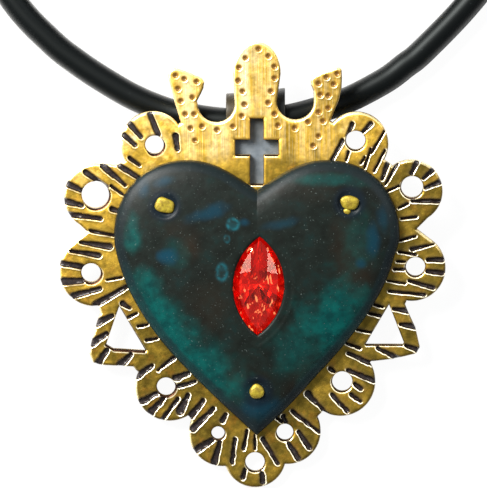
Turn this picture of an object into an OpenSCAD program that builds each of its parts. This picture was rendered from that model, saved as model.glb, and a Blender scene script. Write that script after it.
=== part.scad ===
/* [Heart] */
// Width of the domed copper heart, across both lobes
heart_w = 32.4; // [31:0.1:34]
// Height of the heart, from its tip to the tops of its lobes
heart_h = 31.2; // [30:0.1:33]
// How far the cleft dips below the tops of the lobes
cleft_depth = 3.4; // [2.6:0.1:4.2]
// Thickness of the copper sheet
heart_sheet = 0.9; // [0.7:0.05:1.1]
// Height of the dome's crown above the plate
heart_rise = 2.8; // [2.5:0.1:3.2]
// Upright edge of the heart, where its rim turns down onto the plate
heart_edge = 0.5; // [0.3:0.05:0.8]

/* [Stone] */
// Length of the pointed oval stone
stone_l = 12; // [11:0.1:13]
// Width of the stone
stone_w = 6; // [5.5:0.1:6.5]
// Height of the stone's crown above its girdle
crown_h = 1.2; // [0.9:0.05:1.5]
// Thickness of the girdle
girdle_h = 0.25; // [0.15:0.05:0.35]
// Depth of the pavilion below the girdle
pavilion_h = 2.4; // [2.2:0.05:2.6]
// Width of copper that overlaps each long side of the stone
stone_lip = 0.1; // [0.05:0.05:0.3]
// Length of copper that overlaps each tip of the stone
tip_lip = 0.35; // [0.2:0.05:0.6]
// Gap between the girdle and the underside of the copper
stone_gap = 0.1; // [0.04:0.01:0.12]
// Turn of the stone, clockwise from upright
stone_turn = 1.4; // [0:0.1:5]

/* [Plate] */
// Thickness of the brass backplate
plate_t = 1.2; // [1:0.05:1.6]
// Depth of the chased strokes and punched dots
stroke_depth = 0.35; // [0.2:0.05:0.5]
// Diameter of a punched dot
dot_d = 0.55; // [0.4:0.05:0.7]
// Width of the cross that is pierced above the heart
cross_w = 4.9; // [4.5:0.1:5.3]
// Width of the cross's upright
cross_upright = 1.5; // [1.2:0.05:1.8]
// Height of the cross's arms
cross_arm = 1.75; // [1.4:0.05:2]

/* [Rivets] */
// Diameter of the rivet wire
rivet_d = 1.4; // [1.2:0.05:1.6]
// Room round the wire in its holes
rivet_play = 0.1; // [0.05:0.05:0.2]
// Diameter of the hammered heads
rivet_head_d = 2; // [1.8:0.05:2.3]
// Height of the heads, front and back
rivet_head_h = 0.5; // [0.35:0.05:0.7]
// Depth of the flat that is dressed into the dome for each head
rivet_seat = 0.2; // [0.15:0.05:0.3]

/* [Bail] */
// Width of the strip that is folded round the cord
bail_w = 7; // [5:0.1:9]
// Thickness of the strip
bail_t = 0.6; // [0.5:0.05:0.8]
// Room that the folded strip leaves over the cord
bail_play = 0.4; // [0.3:0.05:0.8]
// Inside radius of the bends at the heel and the foot
bail_bend = 0.7; // [0.5:0.05:1]
// Slope of the strip where it comes back to the plate, in degrees
bail_slope = 50; // [40:1:60]

/* [Cord] */
// Diameter of the rubber cord
cord_d = 3; // [2.8:0.05:3.1]
// Room round the cord in its end caps
cap_play = 0.1; // [0.05:0.05:0.3]
// Wall of an end cap
cap_wall = 0.45; // [0.4:0.05:0.7]
// Depth that the cord goes into its cap
cap_bore = 5; // [4:0.5:6]
// Length of the closed end of a cap
cap_nose = 1.5; // [1.2:0.1:2]
// Thickness of the wire of the hook and the eye
hook_wire = 0.9; // [0.7:0.05:1]
// Radius of the eye, to the middle of its wire
eye_r = 1.6; // [1.4:0.05:1.8]
// Radius of the cord's outermost turn, to the middle of the cord
coil_r = 16.8; // [16.4:0.1:17]

/* [Hidden] */
$fn = 64;
cut = 1;

// The size of heart that the places in the border are drawn for
drawn_w = 32.4;
drawn_h = 31.2;
function spot(p) = [p[0] * heart_w / drawn_w, p[1] * heart_h / drawn_h];
function spots(list) = [for (p = list) spot(p)];
function arc(c, r, from, to, steps) =
    [for (i = [0:steps]) c + r * [cos(from + (to - from) * i / steps), sin(from + (to - from) * i / steps)]];

// The heart's outline: three curves on the right half, mirrored for the left
heart_top = heart_h * 12 / 31.2;
heart_tip = heart_top - heart_h;
heart_half = heart_w / 2;
heart_curves = [
    [[0, heart_top - cleft_depth], [0.13 * heart_half, heart_top - 0.62 * cleft_depth],
     [0.27 * heart_half, heart_top], [0.49 * heart_half, heart_top]],
    [[0.49 * heart_half, heart_top], [0.79 * heart_half, heart_top],
     [heart_half, heart_top - 0.115 * heart_h], [heart_half, heart_top - 0.275 * heart_h]],
    [[heart_half, heart_top - 0.275 * heart_h], [heart_half, heart_top - 0.5 * heart_h],
     [0.52 * heart_half, heart_top - 0.76 * heart_h], [0, heart_tip]]];
function bezier(b, t) =
    pow(1 - t, 3) * b[0] + 3 * pow(1 - t, 2) * t * b[1] + 3 * (1 - t) * t * t * b[2] + pow(t, 3) * b[3];
function half_point(s) = let (i = min(floor(s), 2)) bezier(heart_curves[i], s - i);
// A place on the heart's edge: 0 at the cleft, 3 at the tip, and from -3 to 0 up the left side
function edge_point(s) = let (p = half_point(abs(s))) [s < 0 ? -p[0] : p[0], p[1]];

// The dome: each ring is the outline drawn in towards a centre, and smoothed to an oval as it goes
dome_centre = spot([0, -1.5]);
dome_oval = [0.95 * heart_half, 0.43 * heart_h];
dome_power = 2.4;
edge_steps = 72;
ring_angles = [0, 12, 24, 38, 54, 72];
function ring_share(a) = pow(cos(a), 2 / dome_power);
function dome_height(share) =
    heart_edge + (heart_rise - heart_edge) * pow(1 - pow(share, dome_power), 1 / dome_power);
function dome_plan(s, share, inset) =
    let (p = edge_point(s) - dome_centre,
         a = atan2(p[1], p[0]),
         oval = [dome_oval[0] * cos(a), dome_oval[1] * sin(a)],
         reach = share * (share * p + (1 - share) * oval))
    dome_centre + reach * (1 - inset * share / norm(p));
function dome_point(s, share) =
    let (p = dome_plan(s, share, 0)) [p[0], p[1], plate_t + dome_height(share)];

// The stone sits on the plate's opening, with its girdle just under the copper at its tips, where the dome
// is lowest
stone_at = spot([0.2, -2.1]);
stone_share = (stone_l / 2 + norm(stone_at - dome_centre)) / dome_oval[1];
girdle_z = plate_t + dome_height(stone_share) - heart_sheet - stone_gap - girdle_h;
seat_share = 1 - (girdle_z - plate_t) / pavilion_h;
seat_play = 0.04;
side_facets = 8;

// Rivets: how far along the heart's edge, how far out from the dome's centre, and the head's width
rivet_places = [[-1.465, 0.79, 1], [1.445, 0.805, 1], [3, 0.76, 0.85]];
function rivet_at(i) = dome_point(rivet_places[i][0], rivet_places[i][1]);

// The bail's loop of strip, seen from the side: along the plate, and back from it
bail_x = 0;
bail_foot = spot([0, 7.5])[1];
bail_top = spot([0, 17.1])[1];
bail_heel = spot([0, 14.9])[1];
bail_tail = spot([0, 8.6])[1];
loop_r = (cord_d + bail_play + bail_t) / 2;
bend_r = bail_bend + bail_t / 2;
front_z = -bail_t / 2;
back_z = front_z - 2 * loop_r;
tail_z = front_z - bail_t;
bend_steps = 6;
slope_rise = (tail_z - bend_r + bend_r * cos(bail_slope)) - (back_z + bend_r - bend_r * cos(bail_slope));
tail_bend = bail_heel - 2 * bend_r * sin(bail_slope) - slope_rise / tan(bail_slope);

// The pendant lies on its lowest scallop and on the bail's heel
scallops = [
    // centre, radius, centre of the drilled hole, diameter of the hole
    [[-11.8, 13.8], 3.65, [-11.6, 13.7], 2.1],
    [[-18.1, 7.8], 3.75, [-18.3, 8], 3.1],
    [[-18.4, -0.7], 4, [-18.8, -0.9], 2.2],
    [[-9.9, -13.9], 3.9, [-10.3, -13.9], 2.1],
    [[-3.9, -19.2], 3.8, [-4.4, -19.2], 1.5],
    [[-0.2, -21.9], 3.5, [-0.2, -22.5], 2.2],
    [[3.5, -19], 3.75, [3.2, -19.1], 1.9],
    [[9.5, -13.3], 3.95, [9.7, -13.3], 2.3],
    [[17.6, -0.3], 3.8, [18, -0.2], 2.2],
    [[17.5, 8.4], 3.55, [17.6, 8.9], 2.5],
    [[11.3, 13.8], 3.6, [11.2, 14.2], 2.2]];
foot = spot(scallops[5][0])[1] - scallops[5][1];
heel_c = [bail_heel, back_z + bend_r];
heel_far = norm([heel_c[0] - foot, heel_c[1]]);
tilt = atan2(-heel_c[1], heel_c[0] - foot) + asin((bend_r + bail_t / 2) / heel_far);
tongue_top = spot([0, 25.4])[1];
left_reach = spot(scallops[2][0])[0] - scallops[2][1];
right_reach = spot(scallops[8][0])[0] + scallops[8][1];
pendant_x = -(left_reach + right_reach) / 2;
pendant_y = -((tongue_top - foot) * cos(tilt) - plate_t * sin(tilt)) / 2;

// The crown: two horns and a round-topped tongue between them, parted by two round gaps
gap_left = spot([-4.6, 18.3]);
gap_right = spot([4.35, 18.6]);
gap_r = 2.1;
tongue_half = 2.7;
tongue_dome = 3.6;
tongue_base = tongue_top - tongue_dome;
function tongue_arc(steps) =
    [for (i = [0:steps]) let (a = 180 - 180 * i / steps)
        [tongue_half * cos(a), tongue_base + tongue_dome * sin(a)]];
left_horn = [[-8.6, 16.2], [-9.45, 19.1], [-9.7, 20.2], [-10, 21.2], [-10, 21.8], [-9.8, 22.2], [-9.4, 22.45],
             [-8.95, 22.4], [-8, 22.1], [-6.8, 21.6], [-6.25, 21.3], [-5.95, 20.8], [-6.05, 20.15], [-6.35, 19.5],
             [-6.8, 18.65]];
right_horn = [[6.45, 19.1], [6.4, 19.9], [6.15, 20.5], [6.1, 21], [6.15, 21.3], [6.4, 21.5], [7.1, 21.85], [8.3, 22.25],
              [9.05, 22.5], [9.45, 22.45], [9.6, 22.2], [9.65, 21.4], [9.6, 20.2], [9.3, 18.8], [8.7, 17.4],
              [8.3, 16.4]];
crown_edge = concat(
    spots(left_horn), arc(gap_left, gap_r, 180, 360, 16), tongue_arc(20),
    arc(gap_right, gap_r, 180, 360, 16), spots(right_horn));

// The two pierced ears beside the heart's lower sides
left_ear = [[-13.7, -12], [-14, -11.6], [-17.9, -11.4], [-18.6, -11.1], [-19, -10.1], [-18.8, -8.9],
            [-18.1, -6.4], [-17.7, -5.5], [-17.9, -4.8]];
right_ear = [[16.8, -4.5], [17.2, -5.5], [18, -7.2], [18.5, -9.4], [18.1, -10.1], [15.6, -10.7], [13, -11]];
ear_holes = [
    [[-15.6, -4.7], [-16.1, -6.1], [-17.1, -9.1], [-16.3, -9.6], [-12.6, -9.8]],
    [[15, -4.5], [16.7, -8.9], [16.6, -9.1], [12.3, -9.1]]];
left_side = [[-20.7, 2.6], [-19.2, 3.8], [-20.4, 4.9], [-18.1, 11.5], [-15.7, 11.4]];
right_side = [[15.1, 11.5], [20.4, 6.4], [18.1, 4.1], [19.9, 2.7]];
bottom_side = [[7, -17.2], [3.1, -22.9], [-3.5, -23.1], [-7.7, -17.3]];
function reversed(list) = [for (i = [len(list) - 1:-1:0]) list[i]];
plate_edge = reversed(concat(
    crown_edge, spots(right_side), spots(right_ear), spots(bottom_side), spots(left_ear), spots(left_side)));

// Chased strokes: start, end, and the stroke's width at each
strokes = [
    // upper left scallops
    [-12.1, 17.2, -11.2, 14.9, 0.5, 0.5], [-14.4, 16.1, -13.1, 14.6, 0.5, 0.4],
    [-15, 14.8, -13.8, 13.7, 0.5, 0.4], [-14.4, 12.2, -13.3, 11.4, 0.4, 0.3],
    [-15.5, 11.3, -13.3, 9.9, 0.5, 0.4], [-9.2, 14.7, -9, 13.2, 0.6, 0.4],
    [-17.4, 11.3, -16.2, 10.2, 0.6, 0.5], [-16, 10.1, -14.9, 9.1, 0.4, 0.3],
    [-19.4, 10.6, -17, 8.9, 0.5, 0.4], [-16.5, 9, -15.1, 8, 0.3, 0.2],
    [-21.3, 9.2, -19.8, 8.5, 0.6, 0.4], [-21.8, 7.3, -19.8, 6.8, 0.6, 0.4],
    [-21.4, 5.8, -17.7, 5.3, 0.5, 0.4], [-16.4, 6.4, -15.8, 6.2, 0.5, 0.4],
    [-18.9, 3.9, -16.2, 3.4, 0.3, 0.3], [-20, 2.6, -16.7, 2.1, 0.3, 0.6],
    // middle left scallop
    [-21.1, 1.6, -17.9, 1.1, 0.3, 0.5], [-22.1, 0.2, -19.8, -0.2, 0.5, 0.5],
    [-21.9, -1.9, -19.8, -1.8, 0.7, 0.5], [-17, -1.7, -15.3, -1.4, 0.2, 0.2],
    [-20.8, -3.5, -17.8, -2.7, 0.6, 0.4], [-18.3, -4.5, -14.8, -2.5, 0.6, 0.4],
    // left ear
    [-18.1, -6.6, -16.4, -5.8, 0.7, 0.4], [-18.7, -8.9, -17, -7.8, 0.7, 0.4],
    [-17.9, -11.1, -17, -9.7, 0.6, 0.4], [-15.4, -11.3, -14.3, -10.2, 0.7, 0.4],
    [-15.2, -4.4, -14.4, -4.9, 0.5, 0.3], [-14.6, -6, -13.6, -5.5, 0.3, 0.2],
    [-13.4, -7, -12.4, -6.8, 0.3, 0.2], [-12.5, -8.6, -11.3, -8.4, 0.3, 0.2],
    // lower left scallops
    [-13.6, -12.7, -11.9, -11.5, 0.6, 0.4], [-11.2, -12, -9.4, -10.6, 0.3, 0.3],
    [-13, -15.6, -11.4, -14.7, 0.6, 0.4], [-12.1, -16.9, -10.6, -15.3, 0.6, 0.4],
    [-10.7, -17.6, -8.9, -15.2, 0.4, 0.3], [-9.2, -12.9, -7.8, -12.4, 0.6, 0.4],
    [-9, -13.9, -7, -13.3, 0.3, 0.3], [-8.7, -16.7, -7.8, -14.9, 0.7, 0.4],
    [-7.4, -17.2, -6.1, -15.5, 0.6, 0.4], [-7.2, -18.7, -4.9, -16.4, 0.6, 0.4],
    [-6.8, -21.1, -5.1, -20, 0.7, 0.4], [-4.8, -22.5, -4.2, -20.3, 0.6, 0.4],
    [-2.8, -22.5, -2.5, -19.9, 0.4, 0.3], [-3.9, -17.8, -3.5, -17.1, 0.5, 0.4],
    // lowest scallop
    [-1.6, -24.3, -1.3, -23.4, 0.5, 0.4], [0.7, -24.8, 0.6, -23.8, 0.6, 0.4],
    [-1.5, -21, -1.1, -18.9, 0.3, 0.3], [-0.2, -21, -0.2, -19.4, 0.3, 0.2],
    [0.7, -19.9, 2.4, -22.7, 0.5, 0.4],
    // lower right scallops
    [2.3, -17.5, 2.8, -17.9, 0.3, 0.3], [3, -17.3, 3.3, -17.9, 0.5, 0.4],
    [3.6, -20.4, 4.7, -22.1, 0.5, 0.6], [4.8, -19.1, 6, -20.9, 0.5, 0.6],
    [4, -16.7, 7.1, -19.1, 0.5, 0.4], [5.8, -14.7, 8, -17, 0.7, 0.3],
    [8.5, -14.8, 10.3, -16.7, 0.5, 0.5], [10.7, -14.8, 11.8, -15.6, 0.4, 0.4],
    [11.1, -13.6, 11.8, -14.1, 0.5, 0.5], [10.3, -12, 13.3, -13.2, 0.5, 0.5],
    [8.3, -11.8, 8.8, -12.2, 0.5, 0.4], [10.4, -10.1, 13.1, -11.3, 0.4, 0.6],
    [10.1, -8.9, 11.7, -9.5, 0.3, 0.4],
    // right ear
    [11.4, -7.4, 13, -7.7, 0.3, 0.3], [12.7, -5.5, 14, -5.8, 0.3, 0.4],
    [13.3, -4.5, 14.3, -4.8, 0.3, 0.3], [15.5, -5, 17.1, -5.2, 0.4, 0.7],
    [16.3, -6.8, 18, -7, 0.4, 0.7], [16.9, -9.2, 18.2, -9.7, 0.4, 0.6],
    [13.7, -9.5, 15.9, -10.6, 0.4, 0.6],
    // middle right scallop
    [16.2, 2.8, 18, 3.3, 0.3, 0.3], [17.6, 1.8, 20.1, 2.4, 0.5, 0.2], [16.1, 1.5, 18, 1.2, 0.3, 0.3],
    [19.4, 0.6, 21, 0.6, 0.5, 0.6], [15.9, 0.4, 16.8, 0.4, 0.3, 0.3],
    [19.3, -0.7, 21, -0.9, 0.5, 0.6], [15.6, -0.5, 16.7, -0.5, 0.3, 0.3],
    [17.3, -1.8, 20, -2.6, 0.4, 0.5], [14.8, -1.8, 16.8, -2.1, 0.2, 0.3],
    [15, -3, 19, -3.4, 0.3, 0.4],
    // upper right scallops
    [18.1, 11.7, 17.5, 10.4, 0.6, 0.4], [19.9, 10.8, 18.9, 9.9, 0.6, 0.4],
    [20.8, 9.5, 19.1, 8.8, 0.6, 0.4], [17.6, 7.3, 20.6, 7.3, 0.4, 0.5],
    [16.4, 5.3, 18.1, 5.5, 0.3, 0.3], [16.1, 6.5, 17.1, 7, 0.3, 0.3],
    [14.9, 8.5, 16.1, 9, 0.3, 0.3], [15.9, 11.6, 14.6, 9.2, 0.4, 0.3],
    [14.8, 11.5, 14.2, 9.8, 0.6, 0.4], [12.9, 16.1, 11.9, 15.1, 0.6, 0.4],
    [10.8, 16.1, 10.3, 14.8, 0.6, 0.4], [14.4, 15.2, 13, 12.8, 0.3, 0.3],
    [12.9, 13.2, 12.2, 11.1, 0.3, 0.3], [14.5, 13.1, 13.3, 10.7, 0.3, 0.3],
    [12.2, 12.3, 11.8, 11.6, 0.3, 0.3], [10.4, 12.9, 10.1, 11.9, 0.4, 0.3],
    [9.7, 14.2, 8.5, 12, 0.5, 0.4]];

// Punched dots on the crown
dots = [
    [0.2, 24.6], [-1.3, 23.6], [-2, 22.5], [-2.1, 21], [-1.6, 19.8], [-1.4, 18.3], [-1.7, 17], [1.3, 23.8],
    [2, 22.6], [2, 21.3], [1.6, 19.8], [1.3, 18.5], [2, 17.2], [2.4, 15.9], [-9.2, 21.6], [-8.2, 21.2],
    [-6.8, 20.9], [-8.9, 20.1], [-7.3, 19.1], [-8.6, 18.7], [-8.1, 17.2], [-7.1, 17.2], [-7.5, 15.6],
    [-6.2, 15.8], [-4.5, 15.4], [-2.7, 15.8], [-7, 14.2], [4.3, 15.6], [5.8, 16.3], [7, 17.4], [8.1, 17.9],
    [7.5, 16.4], [7, 14.7], [6.4, 13.6], [7, 20.7], [7.9, 21.4], [9.1, 21.8], [8.7, 20.6], [7.2, 19.4],
    [8.1, 19.3]];

// The cross: the middle of its arms, the top and the foot of its upright
cross_c = spot([0, 13.4]);
cross_top = spot([0, 16.7])[1];
cross_foot = spot([0, 9.2])[1];

// Where the cord passes through the bail, in the frame that the pendant lies in
thread_v = bail_top - 1.04;
thread = [pendant_x + bail_x, pendant_y + (thread_v - foot) * cos(tilt) - (front_z - loop_r) * sin(tilt)];

// Both ends are wound flat, each turn inside the one before, and end in a cap inside the coil
coil_turns = 1.985;
coil_tuck = 3.3;
tuck_turns = 1 / 3;
stub_turns = 0.08;
stub_steps = 3;
coil_outer = coil_r + cord_d / 2;
coil_inner = coil_r - coil_turns * cord_d;
coil_apart = 0.3;
coil_far = 14.2;
coil_middle = thread[0] - 1;
coil_left_c = [coil_middle - coil_outer - coil_apart / 2, thread[1] + coil_far + coil_outer];
coil_right_c = [coil_middle + coil_outer + coil_apart / 2, thread[1] + coil_far + coil_outer];

// The cord's route from one coil to the other, as places beside the thread point, and its height above the
// surface: it is lifted a little where it passes through the bail
cord_beside = [
    [-27.8, 13.9, 1.5], [-23.4, 9.1, 1.5], [-20.4, 6.7, 1.5], [-17.4, 4.7, 1.5], [-13.9, 2.7, 1.5],
    [-10.2, 1.2, 1.6], [-6.7, 0.4, 2.1], [-3.5, 0, 2.4], [0, 0, 2.4], [3.5, 0.4, 2.4], [6.7, 1.2, 2.1],
    [10.3, 2.4, 1.6], [14.5, 4.6, 1.5], [16.8, 6.3, 1.5], [19, 8.1, 1.5], [24.5, 13.9, 1.5]];
cord_strand = [for (p = cord_beside) [thread[0] + p[0], thread[1] + p[1], p[2]]];
function flat(p) = [p[0], p[1]];
// The angle at which the strand meets a coil, and the last short length that leads there
function meets(c, p, way) = let (d = flat(p) - c) atan2(d[1], d[0]) + way * acos(coil_r / norm(d));
function lead(c, p, angle, reach) =
    let (d = c + coil_r * [cos(angle), sin(angle)] - flat(p), q = flat(p) + reach * d / norm(d)) [q[0], q[1], p[2]];
strand_first = cord_strand[0];
strand_last = cord_strand[len(cord_strand) - 1];
coil_left_start = meets(coil_left_c, strand_first, -1);
coil_right_start = meets(coil_right_c, strand_last, 1);
cord_route = concat(
    [lead(coil_left_c, strand_first, coil_left_start, 1.3)], cord_strand,
    [lead(coil_right_c, strand_last, coil_right_start, 0.45)]);
cord_sides = 8;
function wound_r(t) =
    coil_r - cord_d * t - coil_tuck * pow(max(0, t - coil_turns + tuck_turns) / tuck_turns, 2);
function wound(c, start, way, t) =
    c + wound_r(t) * [cos(start + way * 360 * t), sin(start + way * 360 * t)];
cap_r = cord_d / 2 + cap_play / 2 + cap_wall;
// The way that the cord points at the end of its turns
slip = 1e-4;
function end_step(c, start, way) =
    wound(c, start, way, coil_turns) - wound(c, start, way, coil_turns - slip);
function end_heading(c, start, way) =
    let (d = end_step(c, start, way)) atan2(d[1], d[0]);

// One half of a pointed oval's edge has its middle on the x axis at this radius
function oval_r(l, w) = (l * l + w * w) / (4 * w);

module pointed_oval(l, w) {
    r = oval_r(l, w);
    intersection() {
        translate([w / 2 - r, 0]) circle(r = r);
        translate([r - w / 2, 0]) circle(r = r);
    }
}

module stroke(s) {
    a = spot([s[0], s[1]]);
    b = spot([s[2], s[3]]);
    way = atan2(b[1] - a[1], b[0] - a[0]);
    polygon(concat(arc(a, s[4] / 2, way + 90, way + 270, 4), arc(b, s[5] / 2, way - 90, way + 90, 4)));
}

module cross_shape() {
    translate([-cross_upright / 2, cross_foot]) square([cross_upright, cross_top - cross_foot]);
    translate([-cross_w / 2, cross_c[1] - cross_arm / 2]) square([cross_w, cross_arm]);
}

module plate_blank() {
    difference() {
        union() {
            polygon(plate_edge);
            for (s = scallops) translate(spot(s[0])) circle(r = s[1]);
        }
        for (s = scallops) translate(spot(s[2])) circle(d = s[3]);
        for (hole = ear_holes) polygon(spots(hole));
        cross_shape();
        for (i = [0:2]) translate([rivet_at(i)[0], rivet_at(i)[1]]) circle(d = rivet_d + rivet_play);
        translate(stone_at) rotate(-stone_turn)
            pointed_oval(stone_l * seat_share + seat_play, stone_w * seat_share + seat_play);
    }
}

module placed() {
    translate([pendant_x, pendant_y, 0]) rotate([tilt, 0, 0]) translate([0, -foot, 0]) children();
}

module backplate() {
    color([0.78, 0.62, 0.25]) placed() difference() {
        linear_extrude(plate_t) plate_blank();
        translate([0, 0, plate_t - stroke_depth]) linear_extrude(stroke_depth + cut) {
            for (s = strokes) stroke(s);
            for (d = dots) translate(spot(d)) circle(d = dot_d);
        }
    }
}

// The sheet: rings up the outside, a flat edge under the rim, and rings up the inside
function edge_s(k) = let (s = 6 * k / edge_steps) s <= 3 ? s : s - 6;
function outer_ring(a) =
    [for (k = [0:edge_steps - 1]) let (p = dome_plan(edge_s(k), ring_share(a), 0))
        [p[0], p[1], plate_t + dome_height(ring_share(a))]];
function inner_ring(a) =
    [for (k = [0:edge_steps - 1]) let (p = dome_plan(edge_s(k), ring_share(a), heart_sheet))
        [p[0], p[1], plate_t + max(0, dome_height(ring_share(a)) - heart_sheet)]];
function flat_ring(inset) =
    [for (k = [0:edge_steps - 1]) let (p = dome_plan(edge_s(k), 1, inset)) [p[0], p[1], plate_t]];

module heart_sheet_body() {
    rings = concat(
        [for (a = [72, 54, 38, 24, 12]) inner_ring(a)], [flat_ring(heart_sheet), flat_ring(0)],
        [for (a = ring_angles) outer_ring(a)]);
    n = edge_steps;
    last = len(rings) - 1;
    middle_in = [dome_centre[0], dome_centre[1], plate_t + heart_rise - heart_sheet];
    middle_out = [dome_centre[0], dome_centre[1], plate_t + heart_rise];
    points = concat([for (ring = rings) for (p = ring) p], [middle_in, middle_out]);
    walls = [for (i = [0:last - 1]) for (k = [0:n - 1]) let (j = (k + 1) % n)
        each [[i * n + k, i * n + j, (i + 1) * n + j], [i * n + k, (i + 1) * n + j, (i + 1) * n + k]]];
    caps = [for (k = [0:n - 1]) let (j = (k + 1) % n)
        each [[len(points) - 2, j, k], [len(points) - 1, last * n + k, last * n + j]]];
    polyhedron(points, concat(walls, caps), convexity = 6);
}

module heart() {
    color([0.12, 0.3, 0.3]) placed() difference() {
        heart_sheet_body();
        translate([stone_at[0], stone_at[1], plate_t]) rotate(-stone_turn) linear_extrude(heart_rise + cut)
            pointed_oval(stone_l - 2 * tip_lip, stone_w - 2 * stone_lip);
        for (i = [0:2]) translate(rivet_at(i)) {
            translate([0, 0, -rivet_seat]) cylinder(d = rivet_head_d + rivet_play, h = heart_rise);
            translate([0, 0, -heart_rise]) cylinder(d = rivet_d + rivet_play, h = 2 * heart_rise);
        }
    }
}

// The stone's outline, and rings of facet corners inside it
function oval_point(k, l, w) =
    let (r = oval_r(l, w), side = k < side_facets ? 1 : -1,
         half = asin(l / 2 / r), a = half - 2 * half * (k % side_facets) / side_facets)
    side * [r * cos(a) - (r - w / 2), r * sin(a)];
function facet_ring(share, z, first, step) =
    [for (k = [first:step:2 * side_facets - 1]) let (p = share * oval_point(k, stone_l, stone_w)) [p[0], p[1], z]];

module cut_stone() {
    n = 2 * side_facets;
    h = side_facets;
    top = girdle_z + girdle_h;
    points = concat(
        facet_ring(1, top, 0, 1), facet_ring(0.8, top + 0.6 * crown_h, 1, 2), facet_ring(0.55, top + crown_h, 0, 2),
        facet_ring(1, girdle_z, 0, 1), facet_ring(0.35, girdle_z - 0.62 * pavilion_h, 1, 2),
        [[0, 0, girdle_z - pavilion_h]]);
    mid = n;
    table = n + h;
    low = n + 2 * h;
    deep = low + n;
    culet = deep + h;
    faces = concat(
        [[for (j = [0:h - 1]) table + j]],
        [for (j = [0:h - 1]) let (i = (j + 1) % h, g = 2 * j, g2 = (2 * j + 2) % n) each [
            [g, g + 1, mid + j], [g + 1, g2, mid + j], [table + j, mid + j, table + i],
            [table + i, mid + j, g2], [table + i, g2, mid + i],
            [low + g, deep + j, low + g + 1], [low + g + 1, deep + j, low + g2],
            [low + g2, deep + j, culet], [low + g2, culet, deep + i]]],
        [for (k = [0:n - 1]) let (j = (k + 1) % n) each [[k, low + j, j], [k, low + k, low + j]]]);
    polyhedron(points, faces, convexity = 4);
}

module stone() {
    color([0.75, 0.05, 0.03]) placed() translate([stone_at[0], stone_at[1], 0]) rotate(-stone_turn) cut_stone();
}

// A length of wire through both sheets, hammered to a low dome at each end
module rivet(i) {
    at = rivet_at(i);
    head = rivet_head_d * rivet_places[i][2] / 2;
    seat = at[2] - rivet_seat;
    dome = (head * head + rivet_head_h * rivet_head_h) / (2 * rivet_head_h);
    spread = asin(head / dome);
    color([0.8, 0.68, 0.25]) placed() translate([at[0], at[1], 0]) rotate_extrude()
        polygon(concat(
            [[0, -rivet_head_h]], [for (k = [1:6]) let (a = spread * k / 6)
                [dome * sin(a), -rivet_head_h + dome * (1 - cos(a))]],
            [[rivet_d / 2, 0], [rivet_d / 2, seat]], [for (k = [6:-1:1]) let (a = spread * k / 6)
                [dome * sin(a), seat + rivet_head_h - dome * (1 - cos(a))]],
            [[0, seat + rivet_head_h]]));
}

module rivet_left() { rivet(0); }

module rivet_right() { rivet(1); }

module rivet_bottom() { rivet(2); }

// The strip's middle line, and the strip drawn half its thickness to each side of it
bail_line = concat(
    [[bail_foot, front_z]], arc([bail_top, front_z - loop_r], loop_r, 90, -90, 16),
    arc([bail_heel, back_z + bend_r], bend_r, -90, -90 - bail_slope, bend_steps),
    arc([tail_bend, tail_z - bend_r], bend_r, 90 - bail_slope, 90, bend_steps), [[bail_tail, tail_z]]);
function unit(v) = v / norm(v);
function side_of(line, i) =
    let (a = line[max(i - 1, 0)], b = line[min(i + 1, len(line) - 1)], d = unit(b - a)) [-d[1], d[0]];
function beside(line, off) = [for (i = [0:len(line) - 1]) line[i] + off * side_of(line, i)];

module bail() {
    strip = concat(
        beside(bail_line, bail_t / 2),
        [for (i = [len(bail_line) - 1:-1:0]) bail_line[i] - bail_t / 2 * side_of(bail_line, i)]);
    color([0.27, 0.25, 0.2]) placed() translate([bail_x - bail_w / 2, 0, 0])
        rotate([90, 0, 90]) linear_extrude(bail_w) polygon(strip);
}

// A round tube along a route, with its rings kept level so that it never twists
function along(route, i) =
    unit(route[min(i + 1, len(route) - 1)] - route[max(i - 1, 0)]);
function tube_ring(route, i, r) =
    let (d = along(route, i), side = unit(cross(d, [0, 0, 1])), up = cross(side, d))
    [for (k = [0:cord_sides - 1]) let (a = 360 * k / cord_sides + 180 / cord_sides)
        route[i] + r * (side * cos(a) + up * sin(a))];

module tube(route, r) {
    n = cord_sides;
    last = len(route) - 1;
    polyhedron(
        [for (i = [0:last]) each tube_ring(route, i, r)],
        concat(
            [[for (k = [0:n - 1]) k]], [[for (k = [n - 1:-1:0]) last * n + k]],
            [for (i = [0:last - 1]) for (k = [0:n - 1]) let (j = (k + 1) % n)
                each [[i * n + k, (i + 1) * n + k, (i + 1) * n + j], [i * n + k, (i + 1) * n + j, i * n + j]]]));
}

module cord() {
    color([0.1, 0.1, 0.1]) tube(cord_route, cord_d / 2);
}

module coil(c) {
    color([0.1, 0.1, 0.1]) translate([c[0], c[1], 0]) rotate_extrude()
        translate([coil_inner, 0]) square([coil_outer - coil_inner, cord_d]);
}

module coil_left() { coil(coil_left_c); }

module coil_right() { coil(coil_right_c); }

// The last of the cord leaves the turns, rises to the middle of its cap and goes into it
module cord_end(c, start, way) {
    heading = end_heading(c, start, way);
    last = wound(c, start, way, coil_turns);
    ahead = [cos(heading), sin(heading), 0];
    lift = cap_r - cord_d / 2;
    curve = [for (i = [0:stub_steps]) let (
        share = i / stub_steps, p = wound(c, start, way, coil_turns - stub_turns * (1 - share)))
        [p[0], p[1], cord_d / 2 + lift * share * share * (3 - 2 * share)]];
    color([0.1, 0.1, 0.1]) tube(concat(curve, [[last[0], last[1], cap_r] + cap_bore * ahead]), cord_d / 2);
}

module cord_end_left() { cord_end(coil_left_c, coil_left_start, -1); }

module cord_end_right() { cord_end(coil_right_c, coil_right_start, 1); }

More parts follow.
